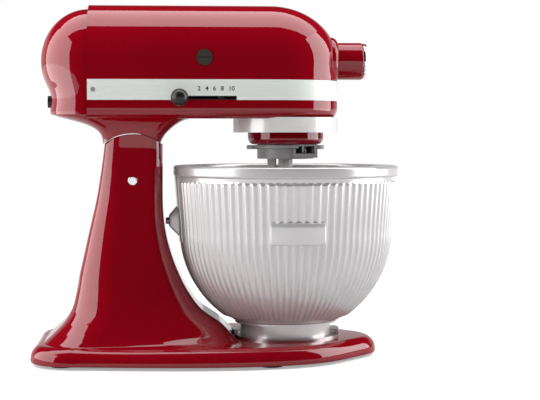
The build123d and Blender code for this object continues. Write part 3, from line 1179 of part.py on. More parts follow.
NODES = {
    "base_casting": base_casting,
    "rubber_feet": rubber_feet,
    "pedestal_column": pedestal_column,
    "hinge_pin": hinge_pin,
    "hinge_set_screw": hinge_set_screw,
    "column_bolts": column_bolts,
    "head_height_screw": head_height_screw,
    "bowl_clamp_plate": bowl_clamp_plate,
    "clamp_plate_screws": clamp_plate_screws,
    "bowl_outer_shell": bowl_outer_shell,
    "bowl_catch_pin": bowl_catch_pin,
    "bowl_liner": bowl_liner,
    "bowl_rim_ring": bowl_rim_ring,
    "coolant_fill": coolant_fill,
    "dasher": dasher,
    "motor_housing": motor_housing,
    "gearcase_housing": gearcase_housing,
    "rear_cover": rear_cover,
    "trim_band": trim_band,
    "drip_ring": drip_ring,
    "trim_screws": trim_screws,
    "rear_cover_screw": rear_cover_screw,
    "slot_liner": slot_liner,
    "brush_caps": brush_caps,
    "brush_holders": brush_holders,
    "carbon_brushes": carbon_brushes,
    "brush_springs": brush_springs,
    "stator_core": stator_core,
    "field_coils": field_coils,
    "rear_bearing_bracket": rear_bearing_bracket,
    "transmission_bracket": transmission_bracket,
    "armature_bushes": armature_bushes,
    "ring_gear": ring_gear,
    "ring_gear_screws": ring_gear_screws,
    "control_plate": control_plate,
    "center_shaft_bush": center_shaft_bush,
    "cord_gland": cord_gland,
    "hub_cover_pin": hub_cover_pin,
    "speed_knob": speed_knob,
    "speed_lever_arm": speed_lever_arm,
    "lock_knob": lock_knob,
    "lock_bolt": lock_bolt,
    "armature_shaft": armature_shaft,
    "armature_core": armature_core,
    "commutator": commutator,
    "cooling_fan": cooling_fan,
    "governor": governor,
    "worm_wheel": worm_wheel,
    "transfer_pinion": transfer_pinion,
    "center_gear": center_gear,
    "center_shaft": center_shaft,
    "shaft_bevel_gear": shaft_bevel_gear,
    "hub_bevel_gear": hub_bevel_gear,
    "hub_socket": hub_socket,
    "hub_cover": hub_cover,
    "attachment_knob": attachment_knob,
    "planetary_hub": planetary_hub,
    "agitator_shaft": agitator_shaft,
    "agitator_pinion": agitator_pinion,
    "drive_ring": drive_ring,
}


def write_part():
    """Write one STEP file for each node."""
    os.makedirs("parts", exist_ok=True)
    for name, make in NODES.items():
        shape = make()
        solids = shape if isinstance(shape, list) else [shape]
        moved = Compound([Pos(SHIFT_X, 0, 0) * s for item in solids for s in item.solids()])
        export_step(moved, f"parts/{name}.step")


write_part()
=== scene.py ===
"""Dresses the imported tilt-head stand mixer and its freeze bowl.

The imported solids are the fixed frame. This script gives each of them a
finish, adds the visible pieces that a solid model holds only roughly, and sets
up the studio that they stand in.
"""

import json
import logging
import math
from collections.abc import Callable
from dataclasses import dataclass
from enum import Enum
from functools import cache

import bpy
import numpy as np
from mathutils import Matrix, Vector


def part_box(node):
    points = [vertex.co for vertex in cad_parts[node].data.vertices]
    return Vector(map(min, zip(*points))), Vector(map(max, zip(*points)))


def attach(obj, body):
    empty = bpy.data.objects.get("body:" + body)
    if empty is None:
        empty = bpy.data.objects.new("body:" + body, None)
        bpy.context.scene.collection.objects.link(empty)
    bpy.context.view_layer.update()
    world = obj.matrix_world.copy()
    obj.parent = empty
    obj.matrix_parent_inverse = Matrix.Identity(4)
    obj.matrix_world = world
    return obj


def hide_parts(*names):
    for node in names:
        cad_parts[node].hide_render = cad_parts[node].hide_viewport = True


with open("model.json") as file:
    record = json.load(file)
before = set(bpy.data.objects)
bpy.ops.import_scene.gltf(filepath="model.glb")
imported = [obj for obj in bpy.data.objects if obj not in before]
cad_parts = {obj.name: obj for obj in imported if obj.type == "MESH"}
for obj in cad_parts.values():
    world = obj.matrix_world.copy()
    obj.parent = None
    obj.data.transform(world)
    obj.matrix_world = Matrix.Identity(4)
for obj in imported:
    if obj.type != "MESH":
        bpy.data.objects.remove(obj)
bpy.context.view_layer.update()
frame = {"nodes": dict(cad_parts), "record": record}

log = logging.getLogger("mixer")

MM = 0.001
MERGE_DISTANCE = 0.001 * MM

Colour = tuple[float, float, float]
Span = tuple[float, float]
Socket = bpy.types.NodeSocket


class Body(str, Enum):
    """The moving bodies that new pieces ride on."""

    STAND = "stand"
    BOWL = "bowl"
    HEAD = "head"


class Slot(str, Enum):
    """The record's material slots that new pieces take their finish from."""

    ENAMEL = "red_enamel"
    STEEL = "steel"
    BLACK = "black_plastic"
    BOWL = "bowl_plastic"


class Sum(str, Enum):
    """How two values of a material are put together."""

    MULTIPLY = "MULTIPLY"
    MAXIMUM = "MAXIMUM"


# ---------------------------------------------------------------- finishes


def combine(tree: bpy.types.NodeTree, way: Sum, first: Socket, second: Socket | float) -> Socket:
    """Adds a node that puts two values together.

    Args:
        tree: The node tree.
        way: How the values are put together.
        first: The first value.
        second: The second value, or a number.

    Returns:
        The result.
    """
    node = tree.nodes.new("ShaderNodeMath")
    node.operation = way.value
    tree.links.new(first, node.inputs[0])
    if isinstance(second, float):
        node.inputs[1].default_value = second
    else:
        tree.links.new(second, node.inputs[1])
    return node.outputs["Value"]


def soft_step(tree: bpy.types.NodeTree, source: Socket, span: Span) -> Socket:
    """Adds a soft step from 0 to 1.

    Args:
        tree: The node tree.
        source: The value that is stepped.
        span: Where the step starts and where it ends.

    Returns:
        The stepped value.
    """
    node = tree.nodes.new("ShaderNodeMapRange")
    node.interpolation_type = "SMOOTHSTEP"
    node.inputs["From Min"].default_value, node.inputs["From Max"].default_value = span
    tree.links.new(source, node.inputs["Value"])
    return node.outputs["Result"]


def mix_shaders(tree: bpy.types.NodeTree, share: Socket, low: Socket, high: Socket) -> Socket:
    """Adds a mix of two shaders.

    Args:
        tree: The node tree.
        share: How much of the second shader there is.
        low: The first shader.
        high: The second shader.

    Returns:
        The mixed shader.
    """
    node = tree.nodes.new("ShaderNodeMixShader")
    tree.links.new(share, node.inputs["Fac"])
    tree.links.new(low, node.inputs[1])
    tree.links.new(high, node.inputs[2])
    return node.outputs["Shader"]


class NodeSheet:
    """A material's node tree with short ways to add and join nodes."""

    def __init__(self, name: str) -> None:
        """Starts an empty material with one Principled shader.

        Args:
            name: The material's name.
        """
        self.material = bpy.data.materials.new(name)
        self.material.use_nodes = True
        self.tree = self.material.node_tree
        self.tree.nodes.clear()
        self.output = self.tree.nodes.new("ShaderNodeOutputMaterial")
        self.shader = self.tree.nodes.new("ShaderNodeBsdfPrincipled")
        self.tree.links.new(self.shader.outputs["BSDF"], self.output.inputs["Surface"])
        self._place: Socket | None = None

    @property
    def place(self) -> Socket:
        """The Object coordinates, made on first use.

        Returns:
            The coordinates.
        """
        if self._place is None:
            self._place = self.tree.nodes.new("ShaderNodeTexCoord").outputs["Object"]
        return self._place

    def join(self, source: Socket, target: Socket) -> None:
        """Links one socket to another."""
        self.tree.links.new(source, target)

    def set(self, **values: object) -> None:
        """Sets the shader's own sockets.

        Args:
            values: Each socket's value, with an underscore for each space in its name.
        """
        for key, value in values.items():
            self.shader.inputs[key.replace("_", " ")].default_value = value

    def noise(self, scale: float, detail: float = 2.0,
              stretch: Colour = (1.0, 1.0, 1.0)) -> Socket:
        """Adds a noise pattern.

        Args:
            scale: Cells per metre.
            detail: Octaves.
            stretch: How the pattern's coordinates are scaled along each axis.

        Returns:
            The noise value.
        """
        mapping = self.tree.nodes.new("ShaderNodeMapping")
        mapping.inputs["Scale"].default_value = stretch
        self.join(self.place, mapping.inputs["Vector"])
        node = self.tree.nodes.new("ShaderNodeTexNoise")
        node.inputs["Scale"].default_value = scale
        node.inputs["Detail"].default_value = detail
        self.join(mapping.outputs["Vector"], node.inputs["Vector"])
        return node.outputs["Fac"]

    def tint(self, source: Socket, colour: Colour, factors: Span, ends: Span = (0.3, 0.7)) -> Socket:
        """Turns a value into a colour that is a little darker or lighter.

        Args:
            source: The value.
            colour: The colour in the middle.
            factors: What the colour is multiplied by at the low and the high end.
            ends: The values at which the two ends are reached.

        Returns:
            The colour.
        """
        node = self.tree.nodes.new("ShaderNodeValToRGB")
        for element, factor, end in zip(node.color_ramp.elements, factors, ends):
            element.position = end
            element.color = (*shade(colour, factor), 1.0)
        self.join(source, node.inputs["Fac"])
        return node.outputs["Color"]

    def span(self, source: Socket, low: float, high: float) -> Socket:
        """Maps a value from 0..1 to another range.

        Args:
            source: The value.
            low: What 0 becomes.
            high: What 1 becomes.

        Returns:
            The mapped value.
        """
        node = self.tree.nodes.new("ShaderNodeMapRange")
        node.inputs["To Min"].default_value = low
        node.inputs["To Max"].default_value = high
        self.join(source, node.inputs["Value"])
        return node.outputs["Result"]

    def bump(self, source: Socket, height: float, strength: float) -> Socket:
        """Turns a value into a normal and plugs it into the shader.

        Args:
            source: The value.
            height: The height in metres of a value of 1.
            strength: How much of the bump is applied.

        Returns:
            The normal.
        """
        node = self.tree.nodes.new("ShaderNodeBump")
        node.inputs["Strength"].default_value = strength
        node.inputs["Distance"].default_value = height
        self.join(source, node.inputs["Height"])
        self.join(node.outputs["Normal"], self.shader.inputs["Normal"])
        return node.outputs["Normal"]


def shade(colour: Colour, factor: float) -> Colour:
    """Returns a colour made lighter or darker by a factor."""
    return tuple(min(1.0, channel * factor) for channel in colour)


@dataclass(frozen=True)
class Enamel:
    """Baked enamel: a deep colour under a clear, faintly rippled coat."""

    name: str = "baked_enamel"
    colour: Colour = (0.265, 0.0006, 0.0075)
    tints: Span = (0.94, 1.06)
    cloud_scale: float = 9.0
    roughness: Span = (0.42, 0.5)
    speck_scale: float = 240.0
    coat_ior: float = 1.62
    coat_roughness: float = 0.015
    ripple: float = 0.00002
    ripple_scale: float = 160.0
    ripple_strength: float = 0.12

    def make(self) -> bpy.types.Material:
        """Mixes the finish.

        Returns:
            The finished material.
        """
        sheet = NodeSheet(self.name)
        cloud = sheet.noise(self.cloud_scale, detail=3.0)
        sheet.join(sheet.tint(cloud, self.colour, self.tints), sheet.shader.inputs["Base Color"])
        specks = sheet.noise(self.speck_scale)
        sheet.join(sheet.span(specks, *self.roughness), sheet.shader.inputs["Roughness"])
        sheet.set(Specular_IOR_Level=0.0, Coat_Weight=1.0, Coat_Roughness=self.coat_roughness,
                  Coat_IOR=self.coat_ior)
        normal = sheet.bump(sheet.noise(self.ripple_scale), self.ripple, self.ripple_strength)
        sheet.join(normal, sheet.shader.inputs["Coat Normal"])
        return sheet.material


@dataclass(frozen=True)
class Metal:
    """Solid metal, polished, satin or turned."""

    name: str
    colour: Colour
    roughness: float
    grain: Colour = (1.0, 1.0, 1.0)
    grain_scale: float = 300.0
    depth: float = 0.00001
    strength: float = 0.1
    metallic: float = 1.0
    tints: Span = (0.95, 1.03)
    spread: float = 0.15

    def make(self) -> bpy.types.Material:
        """Mixes the finish.

        Returns:
            The finished material.
        """
        sheet = NodeSheet(self.name)
        streak = sheet.noise(self.grain_scale, detail=3.0, stretch=self.grain)
        sheet.join(sheet.tint(streak, self.colour, self.tints), sheet.shader.inputs["Base Color"])
        low, high = self.roughness * (1 - self.spread), self.roughness * (1 + self.spread)
        sheet.join(sheet.span(streak, low, high), sheet.shader.inputs["Roughness"])
        sheet.set(Metallic=self.metallic)
        sheet.bump(streak, self.depth, self.strength)
        return sheet.material


@dataclass(frozen=True)
class Plastic:
    """Moulded plastic with a fine spark-eroded grain."""

    name: str
    colour: Colour
    roughness: float
    grain_scale: float = 900.0
    depth: float = 0.00002
    strength: float = 0.15
    metallic: float = 0.0
    tints: Span = (0.96, 1.04)
    cloud_scale: float = 14.0
    spread: float = 0.1

    def make(self) -> bpy.types.Material:
        """Mixes the finish.

        Returns:
            The finished material.
        """
        sheet = NodeSheet(self.name)
        cloud = sheet.noise(self.cloud_scale, detail=3.0)
        sheet.join(sheet.tint(cloud, self.colour, self.tints), sheet.shader.inputs["Base Color"])
        grain = sheet.noise(self.grain_scale)
        low, high = self.roughness * (1 - self.spread), self.roughness * (1 + self.spread)
        sheet.join(sheet.span(grain, low, high), sheet.shader.inputs["Roughness"])
        sheet.set(Metallic=self.metallic)
        sheet.bump(grain, self.depth, self.strength)
        return sheet.material


Finish = Enamel | Metal | Plastic

FINISHES: dict[str, Finish] = {
    "red_enamel": Enamel(),
    "band_metal": Metal("satin_band", (0.86, 0.90, 0.86), 0.42, (1.0, 1.0, 40.0), 60.0,
                        metallic=0.05),
    "ring_metal": Metal("rolled_ring", (0.88, 0.87, 0.86), 0.2, (1.0, 1.0, 30.0), 80.0,
                        metallic=0.15),
    "chrome": Metal("polished_chrome", (0.84, 0.84, 0.86), 0.05),
    "steel": Metal("brushed_steel", (0.62, 0.57, 0.57), 0.3, (1.0, 1.0, 20.0), 120.0),
    "machined_steel": Metal("turned_steel", (0.50, 0.50, 0.51), 0.28),
    "black_plastic": Plastic("gloss_black", (0.008, 0.009, 0.008), 0.3, 400.0, strength=0.03),
    "cap_plastic": Plastic("brush_cap_plastic", (0.027, 0.027, 0.014), 0.4),
    "grey_plastic": Plastic("drive_grey", (0.36, 0.345, 0.35), 0.4),
    "bowl_plastic": Plastic("bowl_grey", (0.56, 0.55, 0.555), 0.3),
    "bowl_rim": Plastic("rim_grey", (0.60, 0.585, 0.59), 0.25, strength=0.01, metallic=0.4),
    "liner": Metal("spun_liner", (0.75, 0.75, 0.76), 0.35),
    "dasher_plastic": Plastic("dasher_white", (0.74, 0.74, 0.73), 0.4),
    "coolant": Plastic("frozen_coolant", (0.45, 0.6, 0.75), 0.3),
    "rubber": Plastic("black_rubber", (0.03, 0.03, 0.03), 0.75, 1200.0),
    "cast_aluminium": Metal("plain_casting", (0.55, 0.55, 0.56), 0.5),
    "lamination": Metal("stacked_lamination", (0.35, 0.35, 0.36), 0.45, (60.0, 1.0, 1.0), 60.0),
    "copper": Metal("enamelled_copper", (0.70, 0.33, 0.16), 0.35),
    "bronze": Metal("sintered_bronze", (0.60, 0.42, 0.22), 0.4),
    "carbon": Plastic("pressed_carbon", (0.03, 0.03, 0.032), 0.6),
    "gear_steel": Metal("hobbed_steel", (0.42, 0.42, 0.43), 0.35),
}


@cache
def finish_of(slot: str) -> bpy.types.Material:
    """Returns the finish of a material slot, made on first use."""
    return FINISHES[slot].make()


def dress_solids() -> None:
    """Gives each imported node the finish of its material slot."""
    slots = {row["node"]: row["material_slot"] for row in frame["record"]["subparts"]}
    for name, solid in frame["nodes"].items():
        finish = finish_of(slots[name])
        for place in solid.material_slots:
            place.material = finish
        log.info("%s dressed as %s", name, finish.name)


# ---------------------------------------------------------------- studio


@dataclass
class SoftBox:
    """A rectangular lamp that faces a point."""

    name: str
    place: Colour
    aim: Colour
    size: Span
    power: float
    mirrored: bool = True

    def build(self) -> None:
        """Adds the lamp."""
        bpy.ops.object.light_add(type="AREA", location=self.place)
        lamp = bpy.context.object
        lamp.name = self.name
        lamp.data.shape = "RECTANGLE"
        lamp.data.size, lamp.data.size_y = self.size
        lamp.data.energy = self.power
        direction = Vector(self.place) - Vector(self.aim)
        lamp.rotation_euler = direction.to_track_quat("Z", "Y").to_euler()
        lamp.visible_camera = False
        lamp.visible_glossy = self.mirrored


@dataclass
class Studio:
    """The camera, lamps, floor and background."""

    camera_place: Colour = (-0.04782, -1.45679, 0.22495)
    azimuth: float = -4.0
    elevation: float = 2.664
    lens: float = 96.0
    sensor: float = 36.0
    sight: float = 100.0
    floor_half: float = 30.0
    floor_z: float = -0.2 * MM
    floor_roughness: float = 0.9
    floor_seen: float = 0.9
    floor_bounce: float = 0.55
    shadow_reach: Span = (0.45, 0.9)
    near_glow: float = 0.35
    ambient: float = 0.22
    gloss_level: float = 0.02
    backdrop_level: float = 0.5
    backdrop_rise: Span = (0.42, 0.2)
    backdrop_turn: Span = (0.5, 0.75)
    lamps: tuple[SoftBox, ...] = (
        SoftBox("top_box", (0.0, 0.115, 1.15), (0.0, 0.115, 0.0), (2.0, 0.81), 16.0),
        SoftBox("right_box", (1.0, -0.02, 0.6), (0.0, -0.02, 0.6), (0.80, 1.10), 11.0),
        SoftBox("left_box", (-1.0, -0.12, 0.6), (0.0, -0.12, 0.6), (1.39, 1.10), 15.0),
        SoftBox("front_fill", (-0.4, -2.4, 1.1), (0.0, 0.0, 0.2), (1.8, 1.4), 6.0, mirrored=False))

    def add_camera(self) -> None:
        """Adds the camera and makes it the scene's own."""
        data = bpy.data.cameras.new("camera")
        data.lens = self.lens
        data.sensor_width = self.sensor
        data.clip_end = self.sight
        camera = bpy.data.objects.new("camera", data)
        bpy.context.collection.objects.link(camera)
        turn, tilt = math.radians(self.azimuth), math.radians(self.elevation)
        level = math.cos(tilt)
        back = Vector((math.sin(turn) * level, -math.cos(turn) * level, math.sin(tilt)))
        camera.rotation_euler = (-back).to_track_quat("-Z", "Y").to_euler()
        camera.location = self.camera_place
        bpy.context.scene.camera = camera

    def add_floor(self) -> None:
        """Adds the floor: it keeps the shadow near the object and is plain white further out."""
        bpy.ops.mesh.primitive_plane_add(size=2 * self.floor_half, location=(0.0, 0.0, self.floor_z))
        floor = bpy.context.object
        floor.name = "floor"
        sheet = NodeSheet("floor_paint")
        tree, paint = sheet.tree, sheet.shader.inputs
        sheet.set(Roughness=self.floor_roughness, Specular_IOR_Level=0.0,
                  Emission_Color=(1.0, 1.0, 1.0, 1.0))
        floor.data.materials.append(sheet.material)
        rays = tree.nodes.new("ShaderNodeLightPath").outputs
        camera = rays["Is Camera Ray"]
        sheet.join(sheet.span(camera, self.floor_bounce, self.floor_seen), paint["Base Color"])
        sheet.join(combine(tree, Sum.MULTIPLY, camera, self.near_glow), paint["Emission Strength"])
        reach = tree.nodes.new("ShaderNodeVectorMath")
        reach.operation = "LENGTH"
        sheet.join(sheet.place, reach.inputs[0])
        far = soft_step(tree, reach.outputs["Value"], self.shadow_reach)
        seen = combine(tree, Sum.MAXIMUM, camera, rays["Is Glossy Ray"])
        share = combine(tree, Sum.MULTIPLY, far, seen)
        white = tree.nodes.new("ShaderNodeEmission").outputs["Emission"]
        mixed = mix_shaders(tree, share, sheet.shader.outputs["BSDF"], white)
        sheet.join(mixed, sheet.output.inputs["Surface"])

    def add_world(self) -> None:
        """Sets a white background, an even level on the object and a darker room for its gloss."""
        world = bpy.data.worlds.new("studio")
        bpy.context.scene.world = world
        world.use_nodes = True
        tree = world.node_tree
        tree.nodes.clear()
        output = tree.nodes.new("ShaderNodeOutputWorld")
        rays = tree.nodes.new("ShaderNodeLightPath").outputs
        place = tree.nodes.new("ShaderNodeTexCoord")
        split = tree.nodes.new("ShaderNodeSeparateXYZ")
        tree.links.new(place.outputs["Generated"], split.inputs["Vector"])

        def level(strength: Socket | float) -> Socket:
            """Adds a plain white background.

            Args:
                strength: Its strength.

            Returns:
                The background.
            """
            node = tree.nodes.new("ShaderNodeBackground")
            node.inputs["Color"].default_value = (1.0, 1.0, 1.0, 1.0)
            if isinstance(strength, float):
                node.inputs["Strength"].default_value = strength
            else:
                tree.links.new(strength, node.inputs["Strength"])
            return node.outputs["Background"]

        low = soft_step(tree, split.outputs["Z"], self.backdrop_rise)
        turned = soft_step(tree, split.outputs["Y"], self.backdrop_turn)
        behind = combine(tree, Sum.MULTIPLY, turned, low)
        strength = tree.nodes.new("ShaderNodeMapRange")
        strength.inputs["To Min"].default_value = self.gloss_level
        strength.inputs["To Max"].default_value = self.backdrop_level
        tree.links.new(behind, strength.inputs["Value"])
        mirrored = level(strength.outputs["Result"])
        lit = mix_shaders(tree, rays["Is Glossy Ray"], level(self.ambient), mirrored)
        direct = combine(tree, Sum.MAXIMUM, rays["Is Camera Ray"], rays["Is Transmission Ray"])
        lit = mix_shaders(tree, direct, lit, level(1.0))
        tree.links.new(lit, output.inputs["Surface"])

    def build(self) -> None:
        """Builds the whole studio."""
        self.add_camera()
        for lamp in self.lamps:
            lamp.build()
        self.add_floor()
        self.add_world()
        bpy.context.scene.view_settings.view_transform = "Standard"


# ---------------------------------------------------------------- pieces


def clear_selection() -> None:
    """Deselects every object."""
    bpy.ops.object.select_all(action="DESELECT")


def pick(mesh: bpy.types.Mesh, chosen: np.ndarray) -> None:
    """Selects some vertices of a mesh in object mode, and nothing else.

    Args:
        mesh: The mesh.
        chosen: One flag for each vertex.
    """
    mesh.polygons.foreach_set("select", np.zeros(len(mesh.polygons), dtype=bool))
    mesh.edges.foreach_set("select", np.zeros(len(mesh.edges), dtype=bool))
    mesh.vertices.foreach_set("select", chosen)


def places(mesh: bpy.types.Mesh) -> np.ndarray:
    """Reads where the vertices are.

    Args:
        mesh: The mesh.

    Returns:
        One row for each vertex.
    """
    flat = np.empty(3 * len(mesh.vertices))
    mesh.vertices.foreach_get("co", flat)
    return flat.reshape(-1, 3)


def put(mesh: bpy.types.Mesh, points: np.ndarray) -> None:
    """Moves the vertices to new places."""
    mesh.vertices.foreach_set("co", np.ascontiguousarray(points).ravel())
    mesh.update()


def edit(operation: Callable[[], object]) -> None:
    """Runs an operation on the active mesh in edit mode.

    Args:
        operation: What is run.
    """
    bpy.ops.object.mode_set(mode="EDIT")
    operation()
    bpy.ops.object.mode_set(mode="OBJECT")


def tidy_shell() -> None:
    """Merges doubles and turns all faces of the mesh in edit mode outwards."""
    bpy.ops.mesh.select_all(action="SELECT")
    bpy.ops.mesh.remove_doubles(threshold=MERGE_DISTANCE)
    bpy.ops.mesh.normals_make_consistent(inside=False)


def apply_modifiers(piece: bpy.types.Object) -> None:
    """Applies every modifier of a piece.

    Args:
        piece: The piece.
    """
    bpy.context.view_layer.objects.active = piece
    for name in [modifier.name for modifier in piece.modifiers]:
        bpy.ops.object.modifier_apply(modifier=name)


def cut(piece: bpy.types.Object, cutter: bpy.types.Object) -> None:
    """Cuts a solid out of a piece and deletes the solid.

    Args:
        piece: The piece.
        cutter: The solid that is cut out of it.
    """
    away = piece.modifiers.new(cutter.name, "BOOLEAN")
    away.operation = "DIFFERENCE"
    away.solver = "EXACT"
    away.object = cutter
    apply_modifiers(piece)
    bpy.data.objects.remove(cutter)


def round_edges(piece: bpy.types.Object, width: float, segments: int = 3,
                angle_deg: float = 30.0) -> None:
    """Rounds the sharp edges of a piece and applies its modifiers.

    Args:
        piece: The piece.
        width: How far the rounding reaches from the edge.
        segments: Faces across the rounding.
        angle_deg: Edges flatter than this stay as they are.
    """
    edges = piece.modifiers.new("edges", "BEVEL")
    edges.width = width
    edges.segments = segments
    edges.angle_limit = math.radians(angle_deg)
    apply_modifiers(piece)


def settle(piece: bpy.types.Object, name: str, body: Body, finish: bpy.types.Material,
           smooth_deg: float = 40.0) -> bpy.types.Object:
    """Names, smooths, finishes and seats a new piece.

    Args:
        piece: The mesh, in its place.
        name: Its name.
        body: The body that it rides on.
        finish: Its material.
        smooth_deg: Edges flatter than this are shaded smooth.

    Returns:
        The piece.
    """
    clear_selection()
    piece.select_set(True)
    bpy.context.view_layer.objects.active = piece
    bpy.ops.object.transform_apply(location=True, rotation=True, scale=True)
    bpy.ops.object.shade_smooth_by_angle(angle=math.radians(smooth_deg))
    piece.name = name
    piece.data.materials.clear()
    piece.data.materials.append(finish)
    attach(piece, body.value)
    return piece


def turned_wall(profile: list[Span], columns: int, axis_x: float) -> bpy.types.Object:
    """Draws a ring up a profile by extruding and resizing it, and closes both ends.

    Args:
        profile: Radius and height of each ring.
        columns: Vertices round a ring.
        axis_x: Where the upright axis stands.

    Returns:
        The closed mesh, not yet moved to the world's origin.
    """
    clear_selection()
    first_r, first_z = profile[0]
    bpy.ops.mesh.primitive_circle_add(vertices=columns, radius=first_r,
                                      location=(axis_x, 0.0, first_z))
    bpy.ops.object.mode_set(mode="EDIT")
    bpy.ops.mesh.select_mode(type="VERT")
    bpy.ops.mesh.select_all(action="SELECT")
    for (r0, z0), (r1, z1) in zip(profile, profile[1:]):
        bpy.ops.mesh.extrude_region_move(TRANSFORM_OT_translate={"value": (0.0, 0.0, z1 - z0)})
        bpy.ops.transform.resize(value=(r1 / r0, r1 / r0, 1.0), center_override=(axis_x, 0.0, z1))
    bpy.ops.mesh.merge(type="CENTER")
    bpy.ops.object.mode_set(mode="OBJECT")
    piece = bpy.context.object
    points = places(piece.data)
    in_middle = np.hypot(points[:, 0], points[:, 1]) < 1.01 * first_r
    pick(piece.data, in_middle & (np.abs(points[:, 2]) < 10 * MERGE_DISTANCE))
    edit(lambda: bpy.ops.mesh.merge(type="CENTER"))
    edit(tidy_shell)
    return piece


@dataclass
class FreezeBowl:
    """The pale freeze bowl: its ribbed wall, side pads, rear spine, lug and catch pin."""

    ribs: int = 88
    columns_per_rib: int = 8
    rib_height: float = 1.9 * MM
    rib_steps: tuple[tuple[int, float, float], ...] = (
        (2, -0.1 * MM, 0.5), (1, 0.3 * MM, 0.42), (0, 1.0 * MM, 0.08))
    rib_bottom_z: float = 42.0 * MM
    rib_top_gap: float = 5.4 * MM
    rib_rise_row: float = 1.0 * MM
    rib_smooth_deg: float = 60.0
    outer_share: float = 0.4
    flat_height: float = 0.85 * MM
    flat_reach: int = 3
    flat_low: float = 0.2 * MM
    flat_top_gap: float = 0.3 * MM
    clock_deg: float = 2.1
    rim_overhang: float = 3.8 * MM
    rim_lip: float = 2.8 * MM
    draft: float = 4.1 * MM
    shell: float = 2.0 * MM
    floor_z: float = 35.0 * MM
    floor_thick: float = 3.0 * MM
    floor_hole: float = 1.0 * MM
    foot_r: float = 46.0 * MM
    foot_wall: float = 4.0 * MM
    flange_r: float = 51.8 * MM
    flange_step: float = 0.74 * MM
    flange_half: float = 1.0 * MM
    inside_rows: int = 8
    belly_rows: int = 18
    belly_end: float = 5.5 * MM
    top_drops: tuple[float, ...] = (0.0, 0.5 * MM, 1.3 * MM, 2.6 * MM, 6.0 * MM)
    wall_shares: tuple[float, ...] = (0.35, 0.55, 0.75, 0.93)
    panel_lifts: tuple[float, ...] = (0.9 * MM, 0.0, -1.2 * MM)
    bottom_lifts: tuple[float, ...] = (3.4 * MM, 1.9 * MM, 0.9 * MM, 0.0, -2.5 * MM)
    panel_z: float = 141.6 * MM
    panel_ribs: float = 3.5
    pad_low: float = 119.0 * MM
    pad_high: float = 140.0 * MM
    pad_row: float = 6.0 * MM
    pad_half: float = 27.0 * MM
    pad_crown: float = 62.0 * MM
    pad_out: float = 5.2 * MM
    pad_thick: float = 6.0 * MM
    pad_round: float = 1.1 * MM
    pad_cells: tuple[int, int] = (28, 4)
    plate_edge_deg: float = 50.0
    spine_out: float = 2.9 * MM
    spine_thick: float = 4.0 * MM
    spine_round: float = 0.9 * MM
    spine_cells: tuple[int, int] = (16, 14)
    spine_half_deg: float = 12.0
    spine_below_pin: float = 21.0 * MM
    lug_half: float = 6.0 * MM
    lug_round: float = 1.6 * MM
    lug_outline: tuple[Span, ...] = (
        (3.0, -21.0), (-12.7, -5.0), (-12.7, 5.5), (-2.9, 17.0), (3.0, 17.0))
    pin_r: float = 3.4 * MM
    pin_sides: int = 40
    pin_z: float = 136.5 * MM
    pin_length: float = 10.0 * MM
    pin_out: float = 15.8 * MM
    pin_round: float = 0.9 * MM
    wall_finish: Plastic = Plastic("bowl_grey_moulded", (0.73, 0.715, 0.72), 0.2, strength=0.005,
                                   metallic=0.42)

    def __post_init__(self) -> None:
        """Takes the bowl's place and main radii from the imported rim."""
        low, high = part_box("bowl_rim_ring")
        self.axis_x = (low.x + high.x) / 2
        self.rim_bottom = low.z
        self.wall_top_r = (high.x - low.x) / 2 - self.rim_overhang
        self.ball_r = self.wall_top_r - self.draft
        self.foot_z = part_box("bowl_outer_shell")[0].z
        flange = self.flange_r + self.flange_step
        self.ball_z = self.floor_z + self.flange_half + math.sqrt(self.ball_r ** 2 - flange ** 2)

    def wall_radius(self, z: float) -> float:
        """Works out the wall between the ribs.

        Args:
            z: The height.

        Returns:
            The wall's radius there.
        """
        if z >= self.ball_z:
            share = (z - self.ball_z) / (self.rim_bottom - self.ball_z)
            return self.ball_r + self.draft * share
        return math.sqrt(self.ball_r ** 2 - (self.ball_z - z) ** 2)

    def profile(self) -> list[Span]:
        """Lists the closed section: up the inside, over the top and down the ribbed outside.

        Returns:
            Radius and height of each ring.
        """
        base_z = self.floor_z + self.floor_thick
        inside = []
        for step in range(self.inside_rows + 1):
            z = base_z + (self.rim_bottom - base_z) * step / self.inside_rows
            inside.append((self.wall_radius(z) - self.shell, z))
        top_end = self.rim_bottom - self.rib_top_gap
        flange_top = self.floor_z + self.flange_half
        flange_low = self.floor_z - self.flange_half
        heights = [self.rim_bottom, self.rim_bottom - self.rim_lip, top_end + self.rib_rise_row]
        heights += [top_end - drop for drop in self.top_drops]
        heights += [top_end - (top_end - self.panel_z) * share for share in self.wall_shares]
        heights += [self.panel_z + lift for lift in self.panel_lifts]
        heights += [self.pad_high - self.pad_row, self.ball_z]
        low_turn = math.asin((self.ball_z - self.rib_bottom_z - self.belly_end) / self.ball_r)
        for step in range(1, self.belly_rows + 1):
            heights.append(self.ball_z - self.ball_r * math.sin(low_turn * step / self.belly_rows))
        heights += [self.rib_bottom_z + lift for lift in self.bottom_lifts] + [flange_top]
        outside = [(self.wall_radius(z), z) for z in heights]
        foot_in = self.foot_r - self.foot_wall
        under = [(self.flange_r, flange_top), (self.flange_r, flange_low), (self.foot_r, flange_low),
                 (self.foot_r, self.foot_z), (foot_in, self.foot_z), (foot_in, self.floor_z),
                 (self.floor_hole, self.floor_z)]
        return [(self.floor_hole, base_z)] + inside + outside + under

